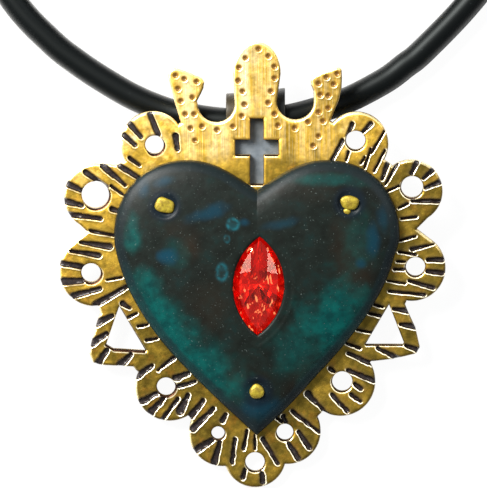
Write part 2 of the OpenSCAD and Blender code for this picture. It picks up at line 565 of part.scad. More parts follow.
// A turned cap with a blind bore, which lies along x with its mouth at the origin
module cap() {
    bore = (cord_d + cap_play) / 2;
    full = cap_bore + cap_nose;
    rotate([0, 90, 0]) rotate_extrude() polygon(concat(
        [[bore, 0], [cap_r, 0], [cap_r, cap_bore]],
        arc([cap_r - cap_nose, cap_bore], cap_nose, 0, 90, 6), [[0, full], [0, cap_bore], [bore, cap_bore]]));
}

module at_end(c, start, way) {
    last = wound(c, start, way, coil_turns);
    translate([last[0], last[1], cap_r]) rotate([0, 0, end_heading(c, start, way)]) children();
}

// The hook: over the eye, round its rim and back under it
module cap_hook() {
    r = hook_wire / 2;
    turn = 2 * r + 0.05;
    root = cap_bore + cap_nose / 2;
    reach = cap_bore + cap_nose + 2.3;
    tail = 1.4;
    color([0.8, 0.66, 0.3]) at_end(coil_left_c, coil_left_start, -1) union() {
        cap();
        translate([root, 0, turn]) rotate([0, 90, 0]) cylinder(r = r, h = reach - root);
        translate([reach, 0, 0]) rotate([90, 0, 0]) rotate([0, 0, -90])
            rotate_extrude(angle = 180) translate([turn, 0]) circle(r = r);
        translate([reach - tail, 0, -turn]) rotate([0, 90, 0]) cylinder(r = r, h = tail);
        translate([reach - tail, 0, -turn]) sphere(r = r);
    }
}

module cap_eye() {
    sunk = 0.3;
    color([0.8, 0.66, 0.3]) at_end(coil_right_c, coil_right_start, 1) union() {
        cap();
        translate([cap_bore + cap_nose + eye_r - sunk, 0, 0])
            rotate_extrude() translate([eye_r, 0]) circle(d = hook_wire);
    }
}

backplate();
heart();
stone();
rivet_left();
rivet_right();
rivet_bottom();
bail();
cord();
coil_left();
coil_right();
cord_end_left();
cord_end_right();
cap_hook();
cap_eye();
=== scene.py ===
"""A sacred heart pendant, built piece by piece.

The pendant lies on its back on a pale floor. Everything on it is first worked out flat, on a drawing board
of its own: u runs to the right, v runs up the pendant, and z is the height above the back of its plate, all
in millimetres. One function then turns that drawing by the small angle at which the pendant really lies and
sets it down on the floor.

The dome of the heart follows one formula in words: go from the heart's outline towards a centre, and call
the outline share 1 and the centre share 0. The height is the edge's height plus the rise times
(1 - share ** 2.4) ** (1 / 2.4), which is steep near the edge and flat on top.
"""

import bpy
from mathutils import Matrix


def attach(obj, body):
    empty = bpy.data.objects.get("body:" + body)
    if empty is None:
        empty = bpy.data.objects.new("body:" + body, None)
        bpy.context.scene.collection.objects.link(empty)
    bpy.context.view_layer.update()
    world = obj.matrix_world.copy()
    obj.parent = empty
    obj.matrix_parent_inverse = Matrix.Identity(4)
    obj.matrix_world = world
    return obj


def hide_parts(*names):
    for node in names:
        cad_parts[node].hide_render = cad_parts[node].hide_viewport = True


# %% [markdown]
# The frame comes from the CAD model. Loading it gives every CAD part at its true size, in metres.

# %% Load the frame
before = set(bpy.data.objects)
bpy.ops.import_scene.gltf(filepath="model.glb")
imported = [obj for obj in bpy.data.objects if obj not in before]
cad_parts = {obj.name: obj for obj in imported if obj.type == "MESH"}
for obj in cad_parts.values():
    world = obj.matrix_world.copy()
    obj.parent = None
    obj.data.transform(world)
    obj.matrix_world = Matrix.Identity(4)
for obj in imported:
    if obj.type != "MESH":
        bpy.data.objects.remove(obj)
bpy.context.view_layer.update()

import math

import bmesh
import bpy
import numpy as np
from mathutils import Matrix, Vector
from mathutils.geometry import delaunay_2d_cdt

# %% [markdown]
# The pendant rests on its lowest scallop and on the heel of the bail behind it, so its plate leans up by
# six and a half degrees. Working flat and turning at the end keeps every shape simple to draw.

# %% From the drawing board to the floor
MM = 0.001
TILT = math.radians(6.52367)
FOOT_V = -25.4
ORIGIN = (0.5, -25.1674)
PLATE_T = 1.2


def place(points):
    """Points (u, v, z) in millimetres on the drawing board become points in metres in the frame."""
    p = np.asarray(points, float).reshape(-1, 3)
    up = p[:, 1] - FOOT_V
    x = p[:, 0] + ORIGIN[0]
    y = ORIGIN[1] + up * math.cos(TILT) - p[:, 2] * math.sin(TILT)
    z = up * math.sin(TILT) + p[:, 2] * math.cos(TILT)
    return np.column_stack([x, y, z]) * MM


ACROSS = Vector((1, 0, 0))
UPWARD = Vector((0, math.cos(TILT), math.sin(TILT)))
NORMAL = Vector((0, -math.sin(TILT), math.cos(TILT)))
print("the plate's normal points along", tuple(round(c, 3) for c in NORMAL))

# %% [markdown]
# The camera looks straight down at the floor. The plate leans up by its small angle, so the lower walls of
# its holes show as thin dark crescents, as they do in the photograph; the brass also has a dark line painted
# along them.

# %% Camera
VIEW_U, VIEW_V = -1.51, 2.42
VIEW_HIGH = 55.313 * MM
CAMERA_FAR = 1.5
SENSOR_HIGH = 24


def into_scene(name, data):
    """A new object that holds data, put into the scene."""
    obj = bpy.data.objects.new(name, data)
    bpy.context.scene.collection.objects.link(obj)
    return obj


camera_data = bpy.data.cameras.new("camera")
camera_data.sensor_fit = "VERTICAL"
camera_data.sensor_height = SENSOR_HIGH
camera_data.lens = SENSOR_HIGH * CAMERA_FAR / VIEW_HIGH
camera_data.clip_start, camera_data.clip_end = 0.01, 10
camera = into_scene("camera", camera_data)
bpy.context.scene.camera = camera
aim = Vector(place([[VIEW_U, VIEW_V, PLATE_T]])[0])
camera.location = aim + Vector((0, 0, CAMERA_FAR))
print("the camera stands at", tuple(round(c, 3) for c in camera.location))

# %% [markdown]
# Cord first. It is one length of soft rubber cord that runs behind the crown, through the folded bail, and
# off the picture at both top corners. The rest of it is put away as for storage: each end is wound flat,
# each turn inside the one before, and ends in a metal cap. It is drawn as one line first, because the length
# of that line is the length of the cord.

# %% The cord's line
CORD_R = 1.5
# each coil's radius, turns and number of points
COIL_R, COIL_TURNS, COIL_POINTS = 16.8, 1.985, 110
# how far each end tucks inwards, over which part of a turn, and over which part it rises to its cap
COIL_TUCK, TUCK_TURNS, STUB_TURNS = 3.3, 1 / 3, 0.08
# the gap between the coils, how far up from the bail they lie, and how far their middle is to its left
COIL_APART, COIL_FAR, COIL_LEFT = 0.3, 14.2, 1
CAP_AXIS_Z, CAP_BORE = 2.0, 5
STRAND_STEPS = 8
BAIL_TOP = 17.1
THREAD_DOWN, THREAD_Z = 1.04, -2.3
THREAD = place([[0, BAIL_TOP - THREAD_DOWN, THREAD_Z]])[0] / MM
# the cord's way across the picture, from the place where it passes through the bail
BESIDE = [
    (-27.8, 13.9, 1.5), (-23.4, 9.1, 1.5), (-20.4, 6.7, 1.5), (-17.4, 4.7, 1.5), (-13.9, 2.7, 1.5),
    (-10.2, 1.2, 1.6), (-6.7, 0.4, 2.1), (-3.5, 0, 2.4), (0, 0, 2.4), (3.5, 0.4, 2.4), (6.7, 1.2, 2.1),
    (10.3, 2.4, 1.6), (14.5, 4.6, 1.5), (16.8, 6.3, 1.5), (19, 8.1, 1.5), (24.5, 13.9, 1.5)]
ROUTE = [(THREAD[0] + x, THREAD[1] + y, z) for x, y, z in BESIDE]


def ease(t):
    """0 up to t = 0 and 1 from t = 1, and t * t * (3 - 2 * t) between them, which starts and ends level."""
    t = np.clip(t, 0, 1)
    return t * t * (3 - 2 * t)


def bell(x, at, wide):
    """1 where x is at, and falling off evenly to both sides: exp(-((x - at) / wide) ** 2)."""
    return np.exp(-((x - at) / wide) ** 2)


def smooth_line(points, steps):
    """A curve that passes through every point, bending evenly between them."""
    p = np.asarray(points, float)
    p = np.vstack([2 * p[0] - p[1], p, 2 * p[-1] - p[-2]])
    out = []
    for a, b, c, d in zip(p[:-3], p[1:-2], p[2:-1], p[3:]):
        for t in np.arange(steps) / steps:
            out.append(0.5 * (2 * b + (c - a) * t + (2 * a - 5 * b + 4 * c - d) * t * t
                              + (3 * b - a - 3 * c + d) * t ** 3))
    out.append(p[-2])
    return np.array(out)


def wound(centre, start, way):
    """One end of the cord, from the outside of its coil to the bottom of its cap. The radius shrinks by one
    cord thickness for each turn, and near the end by a little more, where the cord tucks inwards."""
    t = np.linspace(0, COIL_TURNS, COIL_POINTS)
    late = np.maximum(0, t - COIL_TURNS + TUCK_TURNS) / TUCK_TURNS
    r = COIL_R - 2 * CORD_R * t - COIL_TUCK * late ** 2
    angle = np.radians(start + way * 360 * t)
    lift = ease((t - COIL_TURNS + STUB_TURNS) / STUB_TURNS)
    z = CORD_R + (CAP_AXIS_Z - CORD_R) * lift
    turns = np.column_stack([centre[0] + r * np.cos(angle), centre[1] + r * np.sin(angle), z])
    ahead = turns[-1] - turns[-2]
    ahead[2] = 0
    ahead /= np.linalg.norm(ahead)
    return turns, turns[-1] + CAP_BORE * ahead


def meets(centre, point, way):
    """The angle at which a straight strand from point touches a coil."""
    dx, dy = point[0] - centre[0], point[1] - centre[1]
    return math.degrees(math.atan2(dy, dx) + way * math.acos(COIL_R / math.hypot(dx, dy)))


coil_reach = COIL_R + CORD_R + COIL_APART / 2
ends = []
for way, last in ((-1, ROUTE[0]), (1, ROUTE[-1])):
    coil = (THREAD[0] - COIL_LEFT + way * coil_reach, THREAD[1] + COIL_FAR + COIL_R + CORD_R)
    ends.append(wound(coil, meets(coil, last, way), way))
(left_turns, left_end), (right_turns, right_end) = ends
strand = smooth_line([left_turns[0], *ROUTE, right_turns[0]], STRAND_STEPS)
cord_line = np.vstack([[left_end], left_turns[::-1], strand[1:-1], right_turns, [right_end]])
cord_length = np.linalg.norm(np.diff(cord_line, axis=0), axis=1).sum() * MM
print("the cord's line has", len(cord_line), "points")

# %% [markdown]
# The tube round that line is made from rings of points. Every ring is kept level: one of its axes is
# always horizontal, so the tube never twists.

# %% The cord's tube
def band_faces(rows, around, wrap=False):
    """Quads that join each ring of points to the next one, and with wrap the last ring to the first."""
    k = np.arange(around)
    ring_from = np.arange(rows if wrap else rows - 1)
    ring_to = (ring_from + 1) % rows
    a, b = around * ring_from[:, None], around * ring_to[:, None]
    return np.stack([a + k, a + (k + 1) % around, b + (k + 1) % around, b + k], axis=-1).reshape(-1, 4)


def closed_run(rows, around):
    """The quads of a run of rings, and one flat face at each of its ends."""
    ends = [list(range(around))[::-1], list(range((rows - 1) * around, rows * around))]
    return band_faces(rows, around).tolist() + ends


def tube(line, radius, sides):
    """Rings of points round a line: each point is line + radius * (cos * across + sin * over)."""
    ahead = np.gradient(line, axis=0)
    ahead /= np.linalg.norm(ahead, axis=1)[:, None]
    across = np.cross(ahead, [0, 0, 1])
    across /= np.linalg.norm(across, axis=1)[:, None]
    over = np.cross(ahead, across)
    angle = 2 * math.pi * np.arange(sides)[None, :, None] / sides
    rings = line[:, None] + radius * (np.cos(angle) * across[:, None] + np.sin(angle) * over[:, None])
    return rings.reshape(-1, 3)


TUBE_SIDES = 28
tube_faces = closed_run(len(cord_line), TUBE_SIDES)
cord_mesh = bpy.data.meshes.new("rubber_cord")
cord_mesh.from_pydata((tube(cord_line, CORD_R, TUBE_SIDES) * MM).tolist(), [], tube_faces)
cord_mesh.polygons.foreach_set("use_smooth", [len(f) == 4 for f in tube_faces])
cord = into_scene("rubber_cord", cord_mesh)
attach(cord, "root")
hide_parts("cord", "coil_left", "coil_right", "cord_end_left", "cord_end_right")
print("the cord is", round(cord_length, 3), "m long")

# %% [markdown]
# Materials are built from nodes. A few small helpers keep the recipes short: one adds a node, one fills in
# its inputs, one makes drifting noise in millimetres, one turns a value into a colour, and others mix,
# multiply and lay coats of colour over each other.

# %% Material helpers
def new_material(name):
    """A new material, its tree of nodes, and the main shader in it."""
    material = bpy.data.materials.new(name)
    material.use_nodes = True
    tree = material.node_tree
    return material, tree, tree.nodes["Principled BSDF"]


def add(tree, kind, **settings):
    """Adds one node of a kind and gives it its settings."""
    node = tree.nodes.new(kind)
    for key, value in settings.items():
        setattr(node, key, value)
    return node


def feed(node, values):
    """Fills in a node's inputs, by name or number: each gets another node's output, a colour or a number."""
    for key, value in values.items():
        if isinstance(value, bpy.types.NodeSocket):
            node.id_data.links.new(value, node.inputs[key])
        else:
            node.inputs[key].default_value = (*value, 1) if hasattr(value, "__len__") else value
    return node


def drift(tree, size, detail, rough, stretch=(1, 1, 1)):
    """Noise whose patches are about one over size millimetres wide, and less wherever stretch is large."""
    spot = add(tree, "ShaderNodeTexCoord")
    mapping = feed(add(tree, "ShaderNodeMapping"), {"Vector": spot.outputs["Object"]})
    mapping.inputs["Scale"].default_value = [s / MM for s in stretch]
    noise = feed(add(tree, "ShaderNodeTexNoise"), {
        "Scale": size, "Detail": detail, "Roughness": rough, "Vector": mapping.outputs["Vector"]})
    return noise.outputs["Fac"]


def painted(tree, name):
    """A number kept on the mesh, on its points or on its faces."""
    return add(tree, "ShaderNodeAttribute", attribute_name=name).outputs["Fac"]


def ramp(value, stops):
    """A colour for each value: stops are (position, colour), and a plain number stands for a grey."""
    node = feed(add(value.id_data, "ShaderNodeValToRGB"), {"Fac": value})
    band = node.color_ramp
    for position, _ in stops[1:-1]:
        band.elements.new(position)
    for element, (position, colour) in zip(band.elements, stops):
        element.position = position
        element.color = (*colour, 1) if hasattr(colour, "__len__") else (colour, colour, colour, 1)
    return node.outputs["Color"]


def mix(share, a, b):
    """Colours a and b mixed by share. Each may be a node's output or a plain value, but not all three."""
    tree = next(x.id_data for x in (share, a, b) if isinstance(x, bpy.types.NodeSocket))
    return feed(add(tree, "ShaderNodeMix", data_type="RGBA"), {0: share, 6: a, 7: b}).outputs[2]


def times(a, b):
    """The output a multiplied by b, point by point."""
    return feed(add(a.id_data, "ShaderNodeMath", operation="MULTIPLY"), {0: a, 1: b}).outputs[0]


def coated(colour, coats):
    """A colour with others laid over it, one after another: coats are (share, colour)."""
    for share, over in coats:
        colour = mix(share, colour, over)
    return colour


def bump(height, strength, deep):
    """What makes a surface look uneven: height is the noise, and deep is its depth in millimetres."""
    return feed(add(height.id_data, "ShaderNodeBump"), {
        "Strength": strength, "Distance": deep * MM, "Height": height}).outputs["Normal"]


def make_object(name, points, faces, material, smooth=True):
    """A closed mesh object from points on the drawing board, with all its faces turned outwards."""
    mesh = bpy.data.meshes.new(name)
    mesh.from_pydata(place(points).tolist(), [], faces)
    mesh.materials.append(material)
    shell = bmesh.new()
    shell.from_mesh(mesh)
    bmesh.ops.recalc_face_normals(shell, faces=shell.faces)
    print(name, "open edges:", sum(len(e.link_faces) != 2 for e in shell.edges))
    shell.to_mesh(mesh)
    shell.free()
    mesh.polygons.foreach_set("use_smooth", [smooth] * len(mesh.polygons))
    mesh.update()
    obj = into_scene(name, mesh)
    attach(obj, "root")
    return obj


def paint(obj, name, values):
    """Keeps one number for each point of the mesh, for painted() to read."""
    layer = obj.data.attributes.new(name, "FLOAT", "POINT")
    layer.data.foreach_set("value", np.asarray(values, np.float32))


def drifting(points, size, seed=0):
    """Smooth noise, about -1 to 1: random numbers on a lattice of size millimetres, blended between."""
    table = np.random.default_rng(int(seed)).uniform(-1, 1, (128, 128))
    out = np.zeros(len(points))
    for finer, share in ((1.0, 0.9), (2.1, 0.45)):
        p = np.asarray(points, float)[:, :2] * finer / size + 500.5
        cell = np.floor(p).astype(int)
        tx, ty = ease(p - cell).T
        x0, y0 = (cell % 128).T
        x1, y1 = ((cell + 1) % 128).T
        low = table[x0, y0] * (1 - tx) + table[x1, y0] * tx
        high = table[x0, y1] * (1 - tx) + table[x1, y1] * tx
        out += share * (low * (1 - ty) + high * ty)
    return out


print("helpers are ready")

# %% [markdown]
# Rubber cord: nearly black and satin, with a little dust on it.

# %% Rubber
rubber, tree, bsdf = new_material("cord_rubber_look")
dust = ramp(drift(tree, 2.2, 2.0, 0.5), [(0.72, (0.0008, 0.0011, 0.0011)), (0.80, (0.008, 0.010, 0.010))])
feed(bsdf, {
    "Base Color": dust, "Roughness": 0.42, "Specular IOR Level": 0.2, "Specular Tint": (0.42, 0.46, 0.46)})
cord_mesh.materials.append(rubber)
print("the cord wears", rubber.name)

# %% [markdown]
# The backplate is one sheet of brass, pierced, drilled and chased. Its outline is a plain closed line with
# eleven round scallops laid over it. Blender can join such shapes as solids, but a sheet with a hundred
# chased strokes needs its points where the strokes are, so the sheet is made as a net of triangles instead:
# all lines go into a Delaunay triangulation, and triangles that fall in a hole or outside are dropped.

# %% The plate's lines
# each scallop: middle and radius, then its hole's middle and diameter
SCALLOPS = [
    (-11.8, 13.8, 3.65, -11.6, 13.7, 2.1), (-18.1, 7.8, 3.75, -18.3, 8, 3.1),
    (-18.4, -0.7, 4, -18.8, -0.9, 2.2), (-9.9, -13.9, 3.9, -10.3, -13.9, 2.1),
    (-3.9, -19.2, 3.8, -4.4, -19.2, 1.5), (-0.2, -21.9, 3.5, -0.2, -22.5, 2.2),
    (3.5, -19, 3.75, 3.2, -19.1, 1.9), (9.5, -13.3, 3.95, 9.7, -13.3, 2.3), (17.6, -0.3, 3.8, 18, -0.2, 2.2),
    (17.5, 8.4, 3.55, 17.6, 8.9, 2.5), (11.3, 13.8, 3.6, 11.2, 14.2, 2.2)]
LEFT_HORN = [
    (-8.6, 16.2), (-9.45, 19.1), (-9.7, 20.2), (-10, 21.2), (-10, 21.8), (-9.8, 22.2), (-9.4, 22.45),
    (-8.95, 22.4), (-8, 22.1), (-6.8, 21.6), (-6.25, 21.3), (-5.95, 20.8), (-6.05, 20.15), (-6.35, 19.5),
    (-6.8, 18.65)]
RIGHT_HORN = [
    (6.45, 19.1), (6.4, 19.9), (6.15, 20.5), (6.1, 21), (6.15, 21.3), (6.4, 21.5), (7.1, 21.85), (8.3, 22.25),
    (9.05, 22.5), (9.45, 22.45), (9.6, 22.2), (9.65, 21.4), (9.6, 20.2), (9.3, 18.8), (8.7, 17.4),
    (8.3, 16.4)]
LEFT_EAR = [(-13.7, -12), (-14, -11.6), (-17.9, -11.4), (-18.6, -11.1), (-19, -10.1), (-18.8, -8.9),
            (-18.1, -6.4), (-17.7, -5.5), (-17.9, -4.8)]
RIGHT_EAR = [(16.8, -4.5), (17.2, -5.5), (18, -7.2), (18.5, -9.4), (18.1, -10.1), (15.6, -10.7), (13, -11)]
EAR_HOLES = [
    [(-15.6, -4.7), (-16.1, -6.1), (-17.1, -9.1), (-16.3, -9.6), (-12.6, -9.8)],
    [(15, -4.5), (16.7, -8.9), (16.6, -9.1), (12.3, -9.1)]]
LEFT_SIDE = [(-20.7, 2.6), (-19.2, 3.8), (-20.4, 4.9), (-18.1, 11.5), (-15.7, 11.4)]
RIGHT_SIDE = [(15.1, 11.5), (20.4, 6.4), (18.1, 4.1), (19.9, 2.7)]
BOTTOM_SIDE = [(7, -17.2), (3.1, -22.9), (-3.5, -23.1), (-7.7, -17.3)]
GAPS = [(-4.6, 18.3, 2.1), (4.35, 18.6, 2.1)]
TONGUE_TOP, TONGUE_HALF, TONGUE_DOME = 25.4, 2.7, 3.6
CROSS = [
    (-0.75, 9.2), (0.75, 9.2), (0.75, 12.525), (2.45, 12.525), (2.45, 14.275), (0.75, 14.275), (0.75, 16.7),
    (-0.75, 16.7), (-0.75, 14.275), (-2.45, 14.275), (-2.45, 12.525), (-0.75, 12.525)]


def arc(cx, cy, rx, ry, start, end, steps):
    """Part of an ellipse: centre + (rx * cos, ry * sin), for angles from start to end in degrees."""
    a = np.radians(np.linspace(start, end, steps + 1))
    return [(cx + rx * math.cos(t), cy + ry * math.sin(t)) for t in a]


def ring(cx, cy, r, steps=64):
    """A full circle of points."""
    return arc(cx, cy, r, r, 0, 360, steps)[:-1]


tongue = arc(0, TONGUE_TOP - TONGUE_DOME, TONGUE_HALF, TONGUE_DOME, 180, 0, 24)
gap_left, gap_right = (arc(x, y, r, r, 180, 360, 20) for x, y, r in GAPS)
plate_edge = (LEFT_HORN + gap_left + tongue + gap_right + RIGHT_HORN + RIGHT_SIDE + RIGHT_EAR + BOTTOM_SIDE
              + LEFT_EAR + LEFT_SIDE)
print("the plain outline has", len(plate_edge), "corners")

# %% [markdown]
# The strokes were cut with a chisel struck by a hammer. Each is kept as its two ends and its width at each
# end, and a punched dot as its place alone.

# %% The chased strokes and punched dots
STROKES = [
    (-12.1, 17.2, -11.2, 14.9, 0.5, 0.5), (-14.4, 16.1, -13.1, 14.6, 0.5, 0.4),
    (-15, 14.8, -13.8, 13.7, 0.5, 0.4), (-14.4, 12.2, -13.3, 11.4, 0.4, 0.3),
    (-15.5, 11.3, -13.3, 9.9, 0.5, 0.4), (-9.2, 14.7, -9, 13.2, 0.6, 0.4),
    (-17.4, 11.3, -16.2, 10.2, 0.6, 0.5), (-16, 10.1, -14.9, 9.1, 0.4, 0.3),
    (-19.4, 10.6, -17, 8.9, 0.5, 0.4), (-16.5, 9, -15.1, 8, 0.3, 0.2),
    (-21.3, 9.2, -19.8, 8.5, 0.6, 0.4), (-21.8, 7.3, -19.8, 6.8, 0.6, 0.4),
    (-21.4, 5.8, -17.7, 5.3, 0.5, 0.4), (-16.4, 6.4, -15.8, 6.2, 0.5, 0.4),
    (-18.9, 3.9, -16.2, 3.4, 0.3, 0.3), (-20, 2.6, -16.7, 2.1, 0.3, 0.6),
    (-21.1, 1.6, -17.9, 1.1, 0.3, 0.5), (-22.1, 0.2, -19.8, -0.2, 0.5, 0.5),
    (-21.9, -1.9, -19.8, -1.8, 0.7, 0.5), (-17, -1.7, -15.3, -1.4, 0.2, 0.2),
    (-20.8, -3.5, -17.8, -2.7, 0.6, 0.4), (-18.3, -4.5, -14.8, -2.5, 0.6, 0.4),
    (-18.1, -6.6, -16.4, -5.8, 0.7, 0.4), (-18.7, -8.9, -17, -7.8, 0.7, 0.4),
    (-17.9, -11.1, -17, -9.7, 0.6, 0.4), (-15.4, -11.3, -14.3, -10.2, 0.7, 0.4),
    (-15.2, -4.4, -14.4, -4.9, 0.5, 0.3), (-14.6, -6, -13.6, -5.5, 0.3, 0.2),
    (-13.4, -7, -12.4, -6.8, 0.3, 0.2), (-12.5, -8.6, -11.3, -8.4, 0.3, 0.2),
    (-13.6, -12.7, -11.9, -11.5, 0.6, 0.4), (-11.2, -12, -9.4, -10.6, 0.3, 0.3),
    (-13, -15.6, -11.4, -14.7, 0.6, 0.4), (-12.1, -16.9, -10.6, -15.3, 0.6, 0.4),
    (-10.7, -17.6, -8.9, -15.2, 0.4, 0.3), (-9.2, -12.9, -7.8, -12.4, 0.6, 0.4),
    (-9, -13.9, -7, -13.3, 0.3, 0.3), (-8.7, -16.7, -7.8, -14.9, 0.7, 0.4),
    (-7.4, -17.2, -6.1, -15.5, 0.6, 0.4), (-7.2, -18.7, -4.9, -16.4, 0.6, 0.4),
    (-6.8, -21.1, -5.1, -20, 0.7, 0.4), (-4.8, -22.5, -4.2, -20.3, 0.6, 0.4),
    (-2.8, -22.5, -2.5, -19.9, 0.4, 0.3), (-3.9, -17.8, -3.5, -17.1, 0.5, 0.4),
    (-1.6, -24.3, -1.3, -23.4, 0.5, 0.4), (0.7, -24.8, 0.6, -23.8, 0.6, 0.4),
    (-1.5, -21, -1.1, -18.9, 0.3, 0.3), (-0.2, -21, -0.2, -19.4, 0.3, 0.2),
    (0.7, -19.9, 2.4, -22.7, 0.5, 0.4),
    (2.3, -17.5, 2.8, -17.9, 0.3, 0.3), (3, -17.3, 3.3, -17.9, 0.5, 0.4),
    (3.6, -20.4, 4.7, -22.1, 0.5, 0.6), (4.8, -19.1, 6, -20.9, 0.5, 0.6),
    (4, -16.7, 7.1, -19.1, 0.5, 0.4), (5.8, -14.7, 8, -17, 0.7, 0.3),
    (8.5, -14.8, 10.3, -16.7, 0.5, 0.5), (10.7, -14.8, 11.8, -15.6, 0.4, 0.4),
    (11.1, -13.6, 11.8, -14.1, 0.5, 0.5), (10.3, -12, 13.3, -13.2, 0.5, 0.5),
    (8.3, -11.8, 8.8, -12.2, 0.5, 0.4), (10.4, -10.1, 13.1, -11.3, 0.4, 0.6),
    (10.1, -8.9, 11.7, -9.5, 0.3, 0.4),
    (11.4, -7.4, 13, -7.7, 0.3, 0.3), (12.7, -5.5, 14, -5.8, 0.3, 0.4),
    (13.3, -4.5, 14.3, -4.8, 0.3, 0.3), (15.5, -5, 17.1, -5.2, 0.4, 0.7),
    (16.3, -6.8, 18, -7, 0.4, 0.7), (16.9, -9.2, 18.2, -9.7, 0.4, 0.6),
    (13.7, -9.5, 15.9, -10.6, 0.4, 0.6),
    (16.2, 2.8, 18, 3.3, 0.3, 0.3), (17.6, 1.8, 20.1, 2.4, 0.5, 0.2), (16.1, 1.5, 18, 1.2, 0.3, 0.3),
    (19.4, 0.6, 21, 0.6, 0.5, 0.6), (15.9, 0.4, 16.8, 0.4, 0.3, 0.3),
    (19.3, -0.7, 21, -0.9, 0.5, 0.6), (15.6, -0.5, 16.7, -0.5, 0.3, 0.3),
    (17.3, -1.8, 20, -2.6, 0.4, 0.5), (14.8, -1.8, 16.8, -2.1, 0.2, 0.3),
    (15, -3, 19, -3.4, 0.3, 0.4),
    (18.1, 11.7, 17.5, 10.4, 0.6, 0.4), (19.9, 10.8, 18.9, 9.9, 0.6, 0.4),
    (20.8, 9.5, 19.1, 8.8, 0.6, 0.4), (17.6, 7.3, 20.6, 7.3, 0.4, 0.5),
    (16.4, 5.3, 18.1, 5.5, 0.3, 0.3), (16.1, 6.5, 17.1, 7, 0.3, 0.3),
    (14.9, 8.5, 16.1, 9, 0.3, 0.3), (15.9, 11.6, 14.6, 9.2, 0.4, 0.3),
    (14.8, 11.5, 14.2, 9.8, 0.6, 0.4), (12.9, 16.1, 11.9, 15.1, 0.6, 0.4),
    (10.8, 16.1, 10.3, 14.8, 0.6, 0.4), (14.4, 15.2, 13, 12.8, 0.3, 0.3),
    (12.9, 13.2, 12.2, 11.1, 0.3, 0.3), (14.5, 13.1, 13.3, 10.7, 0.3, 0.3),
    (12.2, 12.3, 11.8, 11.6, 0.3, 0.3), (10.4, 12.9, 10.1, 11.9, 0.4, 0.3),
    (9.7, 14.2, 8.5, 12, 0.5, 0.4)]
DOTS = [
    (0.2, 24.6), (-1.3, 23.6), (-2, 22.5), (-2.1, 21), (-1.6, 19.8), (-1.4, 18.3), (-1.7, 17), (1.3, 23.8),
    (2, 22.6), (2, 21.3), (1.6, 19.8), (1.3, 18.5), (2, 17.2), (2.4, 15.9), (-9.2, 21.6), (-8.2, 21.2),
    (-6.8, 20.9), (-8.9, 20.1), (-7.3, 19.1), (-8.6, 18.7), (-8.1, 17.2), (-7.1, 17.2), (-7.5, 15.6),
    (-6.2, 15.8), (-4.5, 15.4), (-2.7, 15.8), (-7, 14.2), (4.3, 15.6), (5.8, 16.3), (7, 17.4), (8.1, 17.9),
    (7.5, 16.4), (7, 14.7), (6.4, 13.6), (7, 20.7), (7.9, 21.4), (9.1, 21.8), (8.7, 20.6), (7.2, 19.4),
    (8.1, 19.3)]
DOT_R = 0.34
print(len(STROKES), "strokes and", len(DOTS), "dots")

# %% [markdown]
# The heart's outline is three Bezier curves, mirrored, and then pulled in or out by a few tenths of a
# millimetre where the hand-cut edge strays. Rings of points run inwards from it, and each ring is smoothed a
# little more towards an oval, so the dome's top has no crease below the cleft.

# %% The heart's outline and dome
HALF, HIGH, TOP, CLEFT = 16.2, 31.4, 12.0, 3.4
# three curves of four points each: how far out as a share of HALF, and how far down from TOP
OUT = np.array([[0, 0.13, 0.27, 0.49], [0.49, 0.79, 1, 1], [1, 1, 0.52, 0]])
DOWN = np.array([[CLEFT, 0.62 * CLEFT, 0, 0], [0, 0, 0.115 * HIGH, 0.275 * HIGH],
                 [0.275 * HIGH, 0.5 * HIGH, 0.76 * HIGH, HIGH]])
CURVES = np.stack([HALF * OUT, TOP - DOWN], axis=-1)
# where the left edge strays from the curve: how far to the right, at what height and how broadly
STRAYS = [(-0.18, -9, 3.5), (0.12, 0, 2.5)]
# the right edge lies further in by this much along the middle of its side
RIGHT_IN = 0.38
DOME_C = np.array([0, -1.5])
DOME_OVAL = np.array([0.95 * HALF, 0.43 * HIGH])
DOME_POWER = 2.4
# heights above the plate's face, and the copper's thickness
HEART_EDGE, HEART_TOP, HEART_SHEET = 0.5, 2.8, 0.9
# each rivet: its place along the edge, its share of the way out from the centre, and its head's size
RIVETS = [(-1.465, 0.79, 1.0), (1.445, 0.805, 1.0), (3.0, 0.753, 0.85)]
RIVET_HOLE_R = 0.75
STONE_L, STONE_W = 12.0, 6.0
SEAT_SHARE = 0.42
STONE_AT = np.array([0.2, -2.1])
STONE_TURN = -1.4


def edge_point(s):
    """The heart's edge: s is 0 at the cleft, 3 or -3 at the tip, and negative on the left."""
    s = np.atleast_1d(np.asarray(s, float))
    i = np.minimum(np.abs(s).astype(int), 2)
    t = (np.abs(s) - i)[:, None]
    b = CURVES[i]
    p = (1 - t) ** 3 * b[:, 0] + 3 * (1 - t) ** 2 * t * b[:, 1]
    x, y = (p + 3 * (1 - t) * t * t * b[:, 2] + t ** 3 * b[:, 3]).T
    left = sum((far * bell(y, at, wide) for far, at, wide in STRAYS), -x)
    right = x - RIGHT_IN * ease((3.5 - y) / 3) * ease((y + 17) / 5)
    return np.column_stack([np.where(s < 0, left, right), y])


def dome_plan(s, share):
    """A place on the dome: s picks a point of the edge, and share says how far out from the centre it is.
    In words: centre + share * (share * edge + (1 - share) * oval), so the rings turn from heart to oval."""
    p = edge_point(s) - DOME_C
    a = np.arctan2(p[:, 1], p[:, 0])
    oval = DOME_OVAL * np.column_stack([np.cos(a), np.sin(a)])
    share = np.atleast_1d(share)[:, None]
    return DOME_C + share * (share * p + (1 - share) * oval)


def dome_height(share):
    """The edge's height + the rise to the top * (1 - share ** power) ** (1 / power)."""
    share = np.clip(share, 0, 1)
    return HEART_EDGE + (HEART_TOP - HEART_EDGE) * (1 - share ** DOME_POWER) ** (1 / DOME_POWER)


